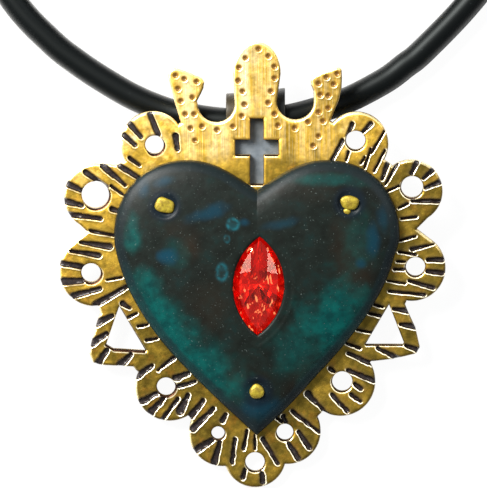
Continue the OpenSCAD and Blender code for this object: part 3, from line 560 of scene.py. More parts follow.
rivet_spots = [
    np.append(dome_plan(s, share)[0], PLATE_T + float(dome_height(share))) for s, share, _ in RIVETS]
print("rivets at", [tuple(np.round(p, 2)) for p in rivet_spots])


def oval_radius(length, width):
    """The radius of a pointed oval's two arcs: (length squared + width squared) / (4 * width)."""
    return (length ** 2 + width ** 2) / (4 * width)


def spun(points, degrees):
    """Points (x, y) turned anticlockwise about (0, 0)."""
    c, s = math.cos(math.radians(degrees)), math.sin(math.radians(degrees))
    return points @ np.array([[c, s], [-s, c]])


def pointed_oval(length, width, steps):
    """A pointed oval from two arcs, set in the stone's place and turn."""
    r = oval_radius(length, width)
    half = math.asin(length / 2 / r)
    a = half - 2 * half * np.arange(steps) / steps
    side = np.column_stack([r * np.cos(a) - (r - width / 2), r * np.sin(a)])
    return spun(np.vstack([side, -side]), STONE_TURN) + STONE_AT


# %% [markdown]
# The sheet's net: first only the lines, to find which edges are the real rim, then everything again with
# fine points near the rims and strokes. The heights come last, as plain functions of the distance to the
# rim and to the strokes.

# %% The plate's net of triangles
JOINED = 1e-5
SLIVER = 1e-7
holes_round = [(s[3], s[4], s[5] / 2) for s in SCALLOPS] + [(p[0], p[1], RIVET_HOLE_R) for p in rivet_spots]
holes_cut = [np.array(h) for h in EAR_HOLES]
holes_cut += [np.array(CROSS), pointed_oval(STONE_L * SEAT_SHARE, STONE_W * SEAT_SHARE, 12)]


def far_from(points, x, y):
    """How far each point is from the place (x, y)."""
    return np.hypot(points[:, 0] - x, points[:, 1] - y)


def in_polygon(points, polygon):
    """Which points are inside: a line to their left crosses the outline an odd number of times."""
    q = np.asarray(polygon, float)
    inside = np.zeros(len(points), bool)
    for (x1, y1), (x2, y2) in zip(q, np.roll(q, -1, axis=0)):
        if y1 == y2:
            continue
        crosses = (points[:, 1] > min(y1, y2)) & (points[:, 1] <= max(y1, y2))
        x = x1 + (points[:, 1] - y1) * (x2 - x1) / (y2 - y1)
        inside ^= crosses & (points[:, 0] < x)
    return inside


def in_plate(points):
    """Which points are on the plate: inside its outline or a scallop, and in none of its holes."""
    found = in_polygon(points, plate_edge)
    for s in SCALLOPS:
        found |= far_from(points, s[0], s[1]) < s[2]
    for x, y, r in holes_round:
        found &= far_from(points, x, y) > r
    for hole in holes_cut:
        found &= ~in_polygon(points, hole)
    return found


def triangulate(points, edges):
    """A Delaunay net of the points that keeps the given edges, without what lies in holes or outside. The
    points are rounded first, so that the point where two edges meet is exactly the same for both."""
    shared = np.round(points, 5) + 0.0
    out = delaunay_2d_cdt([Vector(p) for p in shared.tolist()], edges.tolist(), [], 0, JOINED)
    p = np.array([tuple(v) for v in out[0]])
    f = np.array([tuple(t) for t in out[2] if len(t) == 3])
    (ax, ay), (bx, by) = (p[f[:, 1]] - p[f[:, 0]]).T, (p[f[:, 2]] - p[f[:, 0]]).T
    twice_area = ax * by - ay * bx
    kept = np.abs(twice_area) > SLIVER
    f = np.where((twice_area < 0)[:, None], f[:, ::-1], f)[kept]
    return p, f[in_plate(p[f].mean(axis=1))]


def rim_edges(faces):
    """The directed edges that belong to one triangle only, in a fixed order."""
    e = np.vstack([faces[:, [0, 1]], faces[:, [1, 2]], faces[:, [2, 0]]]).astype(np.int64)
    there, back = e[:, 0] << 32 | e[:, 1], e[:, 1] << 32 | e[:, 0]
    return e[~np.isin(there, back)]


def nearest(points, a, b):
    """From each point to the nearest of the segments a-b: how far it is, and which segment."""
    far, which = np.zeros(len(points)), np.zeros(len(points), int)
    ab = b - a
    long = np.maximum((ab ** 2).sum(1), 1e-12)
    for start in range(0, len(points), 2000):
        some = slice(start, start + 2000)
        p = points[some, None]
        t = np.clip(((p - a) * ab).sum(2) / long, 0, 1)
        square = (((p - a) - t[..., None] * ab) ** 2).sum(2)
        which[some] = square.argmin(1)
        far[some] = np.sqrt(square.min(1))
    return far, which


loops = [plate_edge] + [ring(s[0], s[1], s[2]) for s in SCALLOPS]
loops += [ring(x, y, r, 40) for x, y, r in holes_round] + holes_cut
loops = [np.asarray(loop, float) for loop in loops]
starts = np.cumsum([0] + [len(loop) for loop in loops[:-1]])
loop_pairs = [first + np.column_stack([np.arange(len(loop)), (np.arange(len(loop)) + 1) % len(loop)])
              for first, loop in zip(starts, loops)]
p1, f1 = triangulate(np.vstack(loops), np.vstack(loop_pairs))
rim = rim_edges(f1)
rim_a, rim_b = p1[rim[:, 0]], p1[rim[:, 1]]
rim_length = float(np.linalg.norm(rim_b - rim_a, axis=1).sum())
print("the rim has", len(rim), "edges and is", round(rim_length), "mm long")

# %% [markdown]
# Each stroke leans: its upper wall is a gentle slope, with painted shade that fades out into the brass above
# it, and its lower wall is steep, with a thin lip of raised metal along it that carries a painted highlight.
# The floor holds dark oxide. All of this follows from one number for each point: how far it is inside the
# nearest mark.

# %% How far inside a mark a point is
# the lips are on this side of the marks, and the oxide makes the strokes look wider, most at the left
LIP_WAY = np.array([0.45, -1.0])
LEAST_MARK = -1.0
STROKES_LEFT, STROKES_RIGHT = 1.36, 1.02
strokes, dots = np.array(STROKES), np.array(DOTS)
to_right = ease((strokes[:, [0, 2]].mean(axis=1) + 6) / 14)
strokes[:, 4:6] *= (STROKES_LEFT + (STROKES_RIGHT - STROKES_LEFT) * to_right)[:, None]


def chase(q):
    """Lays every mark over the points: how far inside a mark each point is (negative outside), whether it is
    on the mark's lower side (1) or its upper side (0), and whether the mark is a dot."""
    inside, lip, dotted = np.full(len(q), LEAST_MARK), np.zeros(len(q)), np.zeros(len(q))
    # the cut edges waver by a few hundredths of a millimetre, most at the bottom of the plate
    wobble = (0.035 + 0.045 * ease((-q[:, 1] - 6) / 6)) * drifting(q, 0.45, 3)
    for x1, y1, x2, y2, w1, w2 in strokes:
        a, ab = np.array([x1, y1]), np.array([x2 - x1, y2 - y1])
        near = np.flatnonzero(np.abs(q - (a + ab / 2)).max(axis=1) < np.abs(ab).max() / 2 + 1)
        p = q[near] - a
        t = np.clip(p @ ab / (ab @ ab), 0, 1)
        off = p - t[:, None] * ab
        far = np.hypot(*off.T)
        d = (w1 + (w2 - w1) * t) / 2 + wobble[near] - far
        normal = np.array([-ab[1], ab[0]]) / np.hypot(*ab)
        normal *= np.sign(normal @ LIP_WAY)
        side = ease(0.5 + off @ normal / np.maximum(far, 0.05))
        more = d > inside[near]
        inside[near[more]], lip[near[more]] = d[more], side[more]
    for spot in dots:
        off = q - spot
        far = np.hypot(*off.T)
        d = DOT_R + 0.8 * wobble - far
        more = (d > inside) & (far < 1)
        side = ease(0.75 * off @ LIP_WAY / np.maximum(far, 0.05))
        inside[more], lip[more], dotted[more] = d[more], side[more], 1
    return inside, lip, dotted


print("on a stroke's middle line a point is", round(chase(strokes[:1, 0:2])[0][0], 2), "mm inside")

# %% [markdown]
# A net shows a crisp edge only where its points follow that edge. So points are laid along every mark's
# outline and along the same outline drawn larger and smaller, along the rims, and evenly over the rest, where
# they may be further apart under the heart, which hides them.

# %% Points where the marks and rims are
RIM_STEP = 0.2
RIM_RINGS = (0.07, 0.16, 0.28)
GRID_FINE, GRID_COARSE = 0.18, 0.7
GRID_U, GRID_V, ROW_HIGH = 23, 26, 0.866
# the even points keep this far from rims and marks, which have points of their own
CLEAR, CLEAR_INSIDE, CLEAR_COARSE, CLEAR_MARK = 0.36, 0.2, 0.3, 0.05
# inside these shares of the heart's outline the fine points end and the coarse ones begin
FINE_ENDS, COARSE_BEGINS = 0.93, 0.92
MARK_GROWS = (0.3, 0.19, 0.1, 0.03, -0.05, -0.14)
CAP_STEPS, SIDE_STEPS, DOT_STEPS = 8, 14, 14


def turned(angle):
    """The direction (cos, sin) of each angle."""
    return np.stack([np.cos(angle), np.sin(angle)], axis=-1)


def mark_points():
    """Points along each mark's outline, and along the same outline drawn a little larger and smaller."""
    a, b = strokes[:, None, 0:2], strokes[:, None, 2:4]
    way = np.arctan2(strokes[:, 3] - strokes[:, 1], strokes[:, 2] - strokes[:, 0])[:, None]
    half_turn = math.pi * np.linspace(0.5, 1.5, CAP_STEPS)[None]
    t = np.linspace(0, 1, SIDE_STEPS)[None, 1:-1, None]
    across = turned(way + math.pi / 2)
    out = []
    for grow in MARK_GROWS:
        r1, r2 = np.maximum(strokes[:, 4:6] / 2 + grow, 0.02).T[:, :, None, None]
        side = (r1 + (r2 - r1) * t) * across
        out += [a + r1 * turned(way + half_turn), b - r2 * turned(way + half_turn),
                a + (b - a) * t + side, a + (b - a) * t - side]
        r = max(DOT_R + grow, 0.05)
        out.append(dots[:, None] + r * turned(2 * math.pi * np.arange(DOT_STEPS) / DOT_STEPS)[None])
    return np.vstack([p.reshape(-1, 2) for p in out])


def spaced(a, b, step):
    """Points along each segment about one step apart, the pairs that join them, and each one's segment."""
    n = np.maximum(np.ceil(np.linalg.norm(b - a, axis=1) / step).astype(int), 1)
    segment = np.repeat(np.arange(len(n)), n + 1)
    i = np.arange(len(segment)) - np.repeat(np.cumsum(n + 1) - n - 1, n + 1)
    joined = np.flatnonzero(i < n[segment])
    points = a[segment] + (b - a)[segment] * (i / n[segment])[:, None]
    return points, np.column_stack([joined, joined + 1]), segment


def hex_grid(step):
    """Rows of points, every second row moved by half a step, which join up to even triangles."""
    x, row = np.meshgrid(np.arange(-GRID_U, GRID_U, step), np.arange(int(2 * GRID_V / step / ROW_HIGH)))
    return np.column_stack([(x + step / 2 * (row % 2)).ravel(), (row * step * ROW_HIGH - GRID_V).ravel()])


def under_heart(points, share):
    """Which points lie inside the heart's outline drawn smaller by share."""
    edge = edge_point(np.linspace(-3, 3, 181)[:-1])
    return in_polygon(points, DOME_C + share * (edge - DOME_C))


def on_plate(points, clear):
    """Those of the points that are on the plate and more than clear millimetres from every rim."""
    points = points[in_plate(points)]
    return points[nearest(points, rim_a, rim_b)[0] > clear]


rim_out = (rim_b - rim_a)[:, ::-1] * [1, -1]
rim_out /= np.maximum(np.linalg.norm(rim_out, axis=1), 1e-9)[:, None]
rim_points, rim_pairs, segment = spaced(rim_a, rim_b, RIM_STEP)
middle = rim_points[rim_pairs].mean(axis=1)
inward = np.vstack([middle - d * rim_out[segment[rim_pairs[:, 0]]] for d in RIM_RINGS])
# a point that came out nearer to another rim than to its own is left out
inward = inward[nearest(inward, rim_a, rim_b)[0] > 0.92 * np.repeat(RIM_RINGS, len(middle))]
marks = on_plate(mark_points(), CLEAR_MARK)
fine, coarse = hex_grid(GRID_FINE), hex_grid(GRID_COARSE)
fine = on_plate(fine[~under_heart(fine, FINE_ENDS)], CLEAR)
inside = chase(fine)[0]
fine = fine[(inside < -CLEAR) | (inside > CLEAR_INSIDE)]
coarse = on_plate(coarse[under_heart(coarse, COARSE_BEGINS)], CLEAR_COARSE)
p2, f2 = triangulate(np.vstack([rim_points, inward, marks, fine, coarse]), rim_pairs)
used, f2 = np.unique(f2, return_inverse=True)
p2, f2 = p2[used], f2.reshape(-1, 3)
print("the plate's face has", len(p2), "points and", len(f2), "triangles")

# %% [markdown]
# On the real plate a file rounded every rim, the chisel sank the strokes, and the hammer left the sheet a
# little uneven. The height of every point is worked out at once from its distance to the rim and to the
# marks. The same distances are kept on the mesh, so that the brass can be coloured by them.

# %% Shape the plate
BEVEL = 0.3
STROKE_DEEP, DOT_DEEP = 0.34, 0.24
# pale bands in the crown's brass: where, how broad and how strong
CREAM_BANDS = [(-7.8, 1.1, 0.36), (-4.6, 1.6, 0.30), (1.3, 0.5, 0.28), (5.2, 0.8, 0.20)]


def rounding(far, r):
    """How much an edge of radius r drops, far from its rim: r - sqrt(r ** 2 - (r - far) ** 2)."""
    return r - np.sqrt(np.maximum(r ** 2 - np.maximum(r - far, 0) ** 2, 0))


u, v = p2.T
rim_far, rim_near = nearest(p2, rim_a, rim_b)
middle = (rim_a + rim_b) / 2
is_hole = np.zeros(len(middle), bool)
for x, y, r in holes_round:
    is_hole |= np.abs(far_from(middle, x, y) - r) < 0.02
for cut_out in holes_cut:
    is_hole |= nearest(middle, cut_out, np.roll(cut_out, -1, axis=0))[0] < 0.01
hole, out = is_hole[rim_near], rim_out[rim_near]
# the lower sides of the holes, which get a dark line and a painted highlight ring, and the outer edges that
# look up and down the pendant, which get a painted highlight above and painted shade below
hole_low = hole * ease(0.25 + 0.85 * out[:, 1] + 0.6 * np.clip(u / 6, -1, 1) * out[:, 0])
lit_upper_edges = ~hole * ease(0.3 + out @ [-0.55, 0.83])
shaded_lower_edges = ~hole * ease(0.45 + out @ [0.5, -0.87])
inside, lip, dotted = chase(p2)
# the walls of the marks: steep at the lip, and a slope of 0.3 mm opposite it
upper = 1 - lip
cut = ease((inside + 0.10 * upper) / (0.10 + 0.20 * upper))
burr = 0.05 * lip * bell(inside, -0.08, 0.07)
# the crown is brushed and hardly hammered
crown = ease((v - 11.5 + 0.12 * np.abs(u)) / 2.5) * ease((9.8 - np.abs(u)) / 1.5)
pillow = 0.035 * drifting(p2, 1.3, 7) + 0.05 * drifting(p2, 4.5, 11)
pillow *= ease(rim_far / 0.6) * (1 - 0.75 * crown)
deep = np.where(dotted > 0, DOT_DEEP, STROKE_DEEP)
top_z = PLATE_T - 0.75 * rounding(rim_far, BEVEL) - cut * deep + burr + pillow

# how light the polished brass is: bright at the crown and the upper left, darker at the right and the bottom,
# partly tarnish and partly painted light falling from the upper left, with random noise over it
at_crown = ease((v - 10 - 0.1 * u) / 8)
at_left = ease((-u + 0.9 * v + 2) / 30)
tone = 0.43 + 0.30 * at_left + (0.46 - 0.30 * at_left) * at_crown * (1 - 0.35 * ease((u - 1) / 6))
tone += 0.03 * ease((u - 1) / 4) + 0.22 * np.exp(-far_from(p2, 11.0, 13.5) ** 2 / 12)
tone += 0.11 * drifting(p2, 1.5, 31) + 0.06 * drifting(p2, 0.5, 32)
shine = (1 - 0.6 * at_left) * (0.8 + 0.3 * drifting(p2, 0.5, 33)) * (1 - 0.5 * (dotted > 0))
cream = 0.26 + 0.55 * bell(u, -1.5, 0.65) * ease((v - 16) / 2)
cream += sum(strength * bell(u, at, wide) for at, wide, strength in CREAM_BANDS)
cream -= 0.24 * ease((u - 5.5) / 1.2) * ease((v - 15) / 2)
# the painted shade above the strokes reaches further out on the right half of the plate
fading = 1 - 0.30 * upper * ease((u - 2) / 8)
# where the dark line and the painted highlight ring lie along the lower side of each hole, wider at the left
crescent = (0.13 + 0.12 * ease((-u - 4) / 8)) * hole_low - rim_far
print("the plate's face lies between", round(top_z.min(), 2), "and", round(top_z.max(), 2), "mm")

# %% [markdown]
# The face alone has no thickness. Walls go down from every rim, and a second, coarser net is the back. The
# two share the points along the lower rim, so the sheet is closed.

# %% Close the sheet and keep its numbers
BACK_GRID, BACK_CLEAR = 1.2, 0.5
# every point of the upper rim has one below it, with a number of its own
rim2 = rim_edges(f2)
rim_ids = np.unique(rim2)
low_of = np.zeros(len(p2), int)
low_of[rim_ids] = len(p2) + np.arange(len(rim_ids))
walls = np.column_stack([rim2[:, 1], rim2[:, 0], low_of[rim2[:, 0]], low_of[rim2[:, 1]]])
back_grid = on_plate(hex_grid(BACK_GRID), BACK_CLEAR)
p3, f3 = triangulate(np.vstack([p2[rim_ids], back_grid]), low_of[rim2] - len(p2))
# the back's points that lie on the lower rim take the rim's numbers, and the others get new ones
rim_keys = np.round(np.vstack([p2[rim_ids], p3]), 4)
_, same = np.unique(rim_keys, axis=0, return_inverse=True)
same = same.ravel()
low_key = np.full(same.max() + 1, -1)
low_key[same[:len(rim_ids)]] = len(p2) + np.arange(len(rim_ids))
back_id = low_key[same[len(rim_ids):]]
extra = back_id < 0
back_id[extra] = len(p2) + len(rim_ids) + np.arange(extra.sum())
low_points = np.vstack([p2[rim_ids], p3[extra]])
sheet_points = np.vstack([
    np.column_stack([p2, top_z]), np.column_stack([low_points, np.zeros(len(low_points))])])
sheet_faces = f2.tolist() + walls.tolist() + back_id[f3[:, ::-1]].tolist()

brass, tree, bsdf = new_material("brass_look")
plate = make_object("chased_plate", sheet_points, sheet_faces, brass)
plate.data.set_sharp_from_angle(angle=1.0)
face_numbers = {
    "mark": np.clip(0.5 + inside * np.where(inside < 0, fading, 1), 0, 1), "lip": lip, "dotted": dotted,
    "tone": tone, "shine": np.clip(shine, 0, 1), "crown": crown, "cream": np.clip(cream, 0, 1),
    "rim": np.minimum(2 * rim_far, 1), "crescent": np.clip(0.5 + crescent, 0, 1), "hole_low": hole_low,
    "lit_upper_edges": lit_upper_edges, "shaded_lower_edges": shaded_lower_edges}
for name, values in face_numbers.items():
    below = 0.5 if name == "tone" else 0.0
    paint(plate, name, np.concatenate([values, np.full(len(low_points), below)]))
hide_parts("backplate")
print("the plate has", len(plate.data.polygons), "faces")

# %% [markdown]
# Brass: a metal, so its colour is the colour of its reflections. Drifting noise turns it from cream through
# gold to amber, fine streaks run up the crown where it was brushed, and the oxide is nearly black.

# %% Brass
mark, lip_side, by_rim, by_hole, on_crown, shiny = (
    painted(tree, name) for name in ("mark", "lip", "rim", "crescent", "crown", "shine"))
gold = ramp(painted(tree, "tone"), [
    (0.20, (0.065, 0.042, 0.006)), (0.43, (0.17, 0.114, 0.015)), (0.60, (0.34, 0.212, 0.025)),
    (0.75, (0.56, 0.345, 0.040)), (0.88, (0.82, 0.56, 0.15)), (1.0, (1.0, 0.88, 0.54))])
warm = ramp(drift(tree, 0.7, 3.0, 0.6), [(0.53, 0.0), (0.70, 0.45)])
gold = mix(warm, gold, (0.34, 0.15, 0.018))
streak = drift(tree, 1.0, 2.0, 0.5, (7.0, 0.16, 0.16))
bands = drift(tree, 1.0, 2.0, 0.5, (1.1, 0.10, 0.10))
pale = ramp(mix(0.55, bands, painted(tree, "cream")), [
    (0.26, (0.32, 0.190, 0.016)), (0.45, (0.68, 0.405, 0.046)), (0.66, (0.96, 0.80, 0.44))])
brushed = mix(ramp(streak, [(0.44, 0.0), (0.68, 0.28)]), mix(0.8, gold, pale), (1.0, 0.86, 0.52))

# the rims: painted shade on the outer edges below, a painted highlight on those above, and on the lower side
# of every hole a dark line with a painted highlight ring beside it
yellow_rim = times(on_crown, ramp(by_rim, [(0.45, 0.8), (0.95, 0.0)]))
# down is painted shade on the lower outer edges, and up a painted highlight on the upper ones
down = times(painted(tree, "shaded_lower_edges"), ramp(by_rim, [(0.15, 0.85), (0.60, 0.0)]))
up = times(painted(tree, "lit_upper_edges"), ramp(by_rim, [(0.25, 0.75), (0.50, 0.0)]))
painted_hole_ring = ramp(by_hole, [(0.36, 0.0), (0.41, 0.9), (0.46, 0.9), (0.50, 0.0)])
painted_hole_ring = times(times(painted_hole_ring, painted(tree, "hole_low")), shiny)
hole_dark = ramp(by_hole, [(0.480, 0.0), (0.515, 1.0)])

# the marks: painted soft brown shade on the upper side, black oxide on the floor, and a painted highlight
# along the lip on the lower side
shade_up = ramp(mark, [(0.12, 0.0), (0.34, 0.28), (0.50, 0.76), (0.58, 1.0)])
oxide_and_shade = mix(lip_side, shade_up, ramp(mark, [(0.500, 0.0), (0.525, 1.0)]))
lip_highlight = ramp(mark, [(0.36, 0.0), (0.41, 1.0), (0.475, 1.0), (0.50, 0.0)])
lip_highlight = times(times(lip_side, lip_highlight), shiny)
in_stroke = ramp(drift(tree, 6.0, 2.0, 0.5), [(0.42, (0.004, 0.0022, 0.0025)), (0.72, (0.020, 0.010, 0.007))])
in_dot = ramp(mark, [(0.52, (0.21, 0.105, 0.009)), (0.74, (0.075, 0.032, 0.004))])
gold = coated(gold, [
    (on_crown, brushed), (yellow_rim, (0.74, 0.46, 0.080)), (down, (0.055, 0.036, 0.008)),
    (up, (1.0, 0.86, 0.50)), (painted_hole_ring, (1.0, 0.90, 0.62)), (lip_highlight, (1.0, 0.93, 0.72)),
    (oxide_and_shade, mix(painted(tree, "dotted"), in_stroke, in_dot)), (hole_dark, (0.030, 0.012, 0.006))])
feed(bsdf, {
    "Base Color": gold,
    "Metallic": mix(oxide_and_shade, mix(lip_highlight, (0.95, 0.95, 0.95), (0.5, 0.5, 0.5)), (0.3, 0.3, 0.3)),
    "Roughness": ramp(drift(tree, 1.6, 4.0, 0.65), [(0.35, 0.34), (0.7, 0.50)]),
    "Normal": bump(mix(on_crown, drift(tree, 3.2, 4.0, 0.6), streak), 0.5, 0.05)})
print("brass is ready")

# %% [markdown]
# The heart is a sheet of copper, raised to a dome over a form and coloured by heat and chemicals to slate,
# brown and blue-green. Its net is rings of points from the rim to the edge of the stone's opening.

# %% The heart
STEPS, RINGS = 560, 96
OPEN_L, OPEN_W = 11.3, 5.8
UNDER_EVERY = 6
HEM_R = 0.22
GAP_BELOW = 0.03


def in_opening(p):
    """How far inside the stone's opening each point is, in millimetres, negative outside."""
    q = spun(p - STONE_AT, -STONE_TURN)
    r = oval_radius(OPEN_L, OPEN_W)
    return r - np.hypot(np.abs(q[:, 0]) + r - OPEN_W / 2, q[:, 1])


s_values = np.linspace(-3, 3, STEPS + 1)[:-1]
low, high = np.zeros(STEPS), np.ones(STEPS)
for _ in range(30):
    half_way = (low + high) / 2
    open_there = in_opening(dome_plan(s_values, half_way)) > 0
    low, high = np.where(open_there, half_way, low), np.where(open_there, high, half_way)
# the rings run from the rim (0) to the opening (1), and lie closer together at both
t = np.linspace(0, 1, RINGS)
t = 0.35 * t ** 1.6 + 0.325 * ease(t) + 0.325 * t
share = (1 - (1 - high) * t[:, None]).ravel()
plan = dome_plan(np.tile(s_values, RINGS), share)
height = dome_height(share)
outline = edge_point(np.linspace(-3, 3, 721))
rim_d = nearest(plan, outline[:-1], outline[1:])[0]
open_d = -in_opening(plan)
height -= rounding(rim_d, HEM_R)
# a faint groove inside the lower rim, a faint ridge beside the opening, and the opening's rounded edge
height -= 0.03 * bell(rim_d, 1.15, 0.16) * ease((-plan[:, 1] - 1) / 5)
height += 0.04 * bell(open_d, 1.15, 0.22) * ease(0.5 + (plan - STONE_AT) @ [0.175, -0.175])
height -= 0.15 * np.exp(-np.maximum(open_d, 0) / 0.12)
# each rivet's head sits on a flat spot with a stain round it
halo = np.zeros(len(plan))
for spot, (_, _, wide) in zip(rivet_spots, RIVETS):
    far = far_from(plan, spot[0], spot[1])
    flat = 1 - ease((far - 1.05 * wide) / 0.5)
    height += (np.minimum(height, spot[2] - PLATE_T - 0.18) - height) * flat
    halo = np.maximum(halo, 1 - ease((far - 1.35) / 0.9))
height += 0.02 * drifting(plan, 2.6, 5) + 0.008 * drifting(plan, 0.7, 9)

# the rings of the closed net: skirt, hem, the dome, then back under it from the opening to the rim
under = np.arange(RINGS - 1, 0, -UNDER_EVERY)
row_of = np.concatenate([[0, 0], np.arange(RINGS), under])
z = PLATE_T + height.reshape(RINGS, STEPS)[row_of]
z[0] = PLATE_T - GAP_BELOW
z[1] = PLATE_T + 0.5 * height[:STEPS]
z[-len(under):] = np.maximum(z[-len(under):] - HEART_SHEET, PLATE_T - GAP_BELOW)
heart_points = np.dstack([plan.reshape(RINGS, STEPS, 2)[row_of], z]).reshape(-1, 3)
heart_faces = band_faces(len(row_of), STEPS, wrap=True).tolist()
print("the heart has", len(heart_faces), "faces")

# %% [markdown]
# The colours of the patina drift over the dome in soft patches. Each patch is a place, a size, a turn and a
# strength, as if dabbed on with a sponge, and noise breaks up its edge.

# %% Patina patches
TEAL_PATCHES = [
    (-10.5, -6.5, 2.2, 6.5, 40, 1.0), (-5.5, -12.0, 2.4, 5.0, 48, 0.9), (9.2, -6.0, 3.4, 4.2, -35, 1.0),
    (4.5, -9.0, 2.5, 2.6, 0, 0.55), (-14.1, 3.8, 0.9, 2.2, 5, 0.8), (-12.3, -2.2, 1.3, 2.2, 20, 0.9),
    (11.5, 2.6, 1.6, 3.2, 0, 0.35), (-9.0, 1.2, 1.3, 1.3, 0, 0.3), (7.0, -12.0, 1.4, 2.4, -40, 0.5),
    (7.5, 9.9, 4.0, 0.6, -4, 0.5)]
BLUE_PATCHES = [
    (-10.3, 1.3, 0.9, 0.8, 0, 0.8), (-5.6, 6.2, 2.2, 0.7, 20, 0.6), (-10.5, 9.8, 1.3, 0.6, 15, 0.6),
    (-12.8, 9.1, 0.7, 1.0, 0, 0.6), (13.2, 3.0, 0.6, 1.6, 0, 0.6), (11.8, 0.4, 0.5, 0.5, 0, 0.6),
    (0.5, -16.2, 1.8, 1.3, 0, 0.6), (-1.4, 5.2, 0.5, 0.4, 0, 0.6), (3.0, 5.0, 1.7, 0.5, 10, 0.4),
    (14.3, 5.6, 0.6, 1.4, 0, 0.4)]
BROWN_PATCHES = [
    (-7.7, 2.4, 1.2, 1.4, 0, 0.8), (10.8, 0.8, 1.8, 4.4, 8, 0.8), (-2.5, -13.5, 3.4, 2.2, -20, 0.7),
    (5.4, -12.0, 2.8, 1.3, 50, 0.6), (-5.0, -4.0, 2.4, 2.6, 0, 0.45), (6.8, 8.8, 3.0, 1.4, 0, 0.35),
    (-9.5, 4.3, 1.5, 1.0, 0, 0.4)]
DRIED_DROPS = [(-2.7, 4.95, 0.62, 0.58, 0.9), (-3.95, -0.5, 0.55, 0.85, 0.7), (-3.4, 3.3, 0.3, 0.4, 0.5)]


def dabbed(points, patches, seed):
    """1 inside a dab and 0 outside, with an edge that wanders with the noise."""
    wave = 0.36 * drifting(points, 1.9, seed) + 0.14 * drifting(points, 0.6, seed + 1)
    out = np.zeros(len(points))
    for x, y, rx, ry, turned_by, strength in patches:
        far = np.hypot(*(spun(points - [x, y], -turned_by) / [rx, ry]).T)
        out = np.maximum(out, strength * ease((1.7 - far + wave) / 1.5))
    return out


def dried(points):
    """Bright rings where drops of the colouring dried."""
    out = np.zeros(len(points))
    for x, y, rx, ry, strength in DRIED_DROPS:
        far = np.hypot(*((points - [x, y]) / [rx, ry]).T)
        out += strength * (np.exp(-((far - 1) / 0.3) ** 2) + 0.35 * ease(1.3 - far))
    return out * np.clip(0.7 + 0.6 * drifting(points, 0.35, 41), 0, 1)


patina, tree, bsdf = new_material("patina_look")
heart = make_object("domed_heart", heart_points, heart_faces, patina)
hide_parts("heart")
coats = {
    "teal": dabbed(plan, TEAL_PATCHES, 21), "blue": dabbed(plan, BLUE_PATCHES, 23),
    "brown": dabbed(plan, BROWN_PATCHES, 25), "halo": halo, "drop": dried(plan),
    "rim": 1 - ease((rim_d - 0.9) / 0.4)}
for name, values in coats.items():
    paint(heart, name, values.reshape(RINGS, STEPS)[row_of].ravel())
print("painted", ", ".join(coats))

# %% [markdown]
# The patina is a thin skin of colour, so this material is hardly a metal: it has a nearly black ground, and
# each coat that was dabbed on the mesh is mixed over it by its own strength. Pale pores and a fine grain
# keep it from looking like plastic.

# %% Patina material
ground = ramp(drift(tree, 0.55, 4.0, 0.6), [
    (0.36, (0.0024, 0.0034, 0.0026)), (0.55, (0.0036, 0.0056, 0.0045)), (0.70, (0.0029, 0.0074, 0.0066))])
teal = ramp(drift(tree, 0.8, 3.0, 0.6), [(0.35, (0.0002, 0.0170, 0.0165)), (0.65, (0.0004, 0.0360, 0.0320))])
pores = ramp(drift(tree, 5.5, 2.0, 0.5), [(0.69, 0.0), (0.73, 0.6)])
share_of = {name: painted(tree, name) for name in coats}
colour = coated(ground, [
    (share_of["brown"], (0.0080, 0.0054, 0.0031)), (share_of["teal"], teal),
    (share_of["blue"], (0.0008, 0.0180, 0.0320)), (times(share_of["halo"], 0.75), (0.0018, 0.0042, 0.0075)),
    (times(share_of["rim"], 0.6), (0.0042, 0.0075, 0.0092)), (share_of["drop"], (0.004, 0.042, 0.052)),
    (pores, (0.06, 0.075, 0.070))])
grain = mix(0.5, drift(tree, 2.4, 5.0, 0.65), drift(tree, 9.0, 3.0, 0.6))
feed(bsdf, {
    "Base Color": colour, "Roughness": 0.42, "Specular IOR Level": 0.08, "Normal": bump(grain, 0.35, 0.05)})
print("patina is ready")

# %% [markdown]
# The stone is a pointed oval cut in facets, held between the heart and the plate. Glass bends light for
# itself, so the facets only need to be true planes: flat shading and a closed net. Such stones are backed
# with foil, which throws the light back through the red glass, so the lower facets have a second material.
# It has a painted glow, more on some facets than on others, and small painted glints where the foil
# is creased.

# %% The stone
CROWN_H, GIRDLE_H, PAVILION_H = 0.78, 0.25, 2.4
# the stone's play below the heart's sheet, and every second corner of its outline
PLAY = 0.1
CORNERS = 8
stone_share = (STONE_L / 2 + np.linalg.norm(STONE_AT - DOME_C)) / DOME_OVAL[1]
girdle_z = PLATE_T + float(dome_height(stone_share)) - HEART_SHEET - PLAY - GIRDLE_H
girdle_top = girdle_z + GIRDLE_H


def stone_ring(share, z, first=0, every=2):
    """A ring of facet corners: every second point of the girdle, drawn in by share (across, along)."""
    p = pointed_oval(STONE_L, STONE_W, CORNERS)[first::every] - STONE_AT
    return np.column_stack([p * share + STONE_AT, np.full(len(p), z)])


stone_points = np.vstack([
    stone_ring((1, 1), girdle_top, every=1), stone_ring((0.76, 0.78), girdle_top + 0.5 * CROWN_H, first=1),
    stone_ring((0.42, 0.50), girdle_top + CROWN_H), stone_ring((1, 1), girdle_z, every=1),
    stone_ring((0.34, 0.36), girdle_z - 0.66 * PAVILION_H, first=1), [[*STONE_AT, girdle_z - PAVILION_H]]])
k = np.arange(CORNERS)
j = (k + 1) % CORNERS
star, rim_of_table, deep = 2 * CORNERS + k, 3 * CORNERS + k, 6 * CORNERS + k
culet = np.full(CORNERS, 7 * CORNERS)
a, b, c = 2 * k, 2 * k + 1, 2 * j
low_a, low_b, low_c = 4 * CORNERS + a, 4 * CORNERS + b, 4 * CORNERS + c
crown_facets = [
    (a, b, star), (b, c, star), (c, star[j], rim_of_table[j]), (c, rim_of_table[j], star),
    (star, rim_of_table[j], rim_of_table), (low_a, low_b, b), (low_a, b, a), (low_b, low_c, c), (low_b, c, b)]
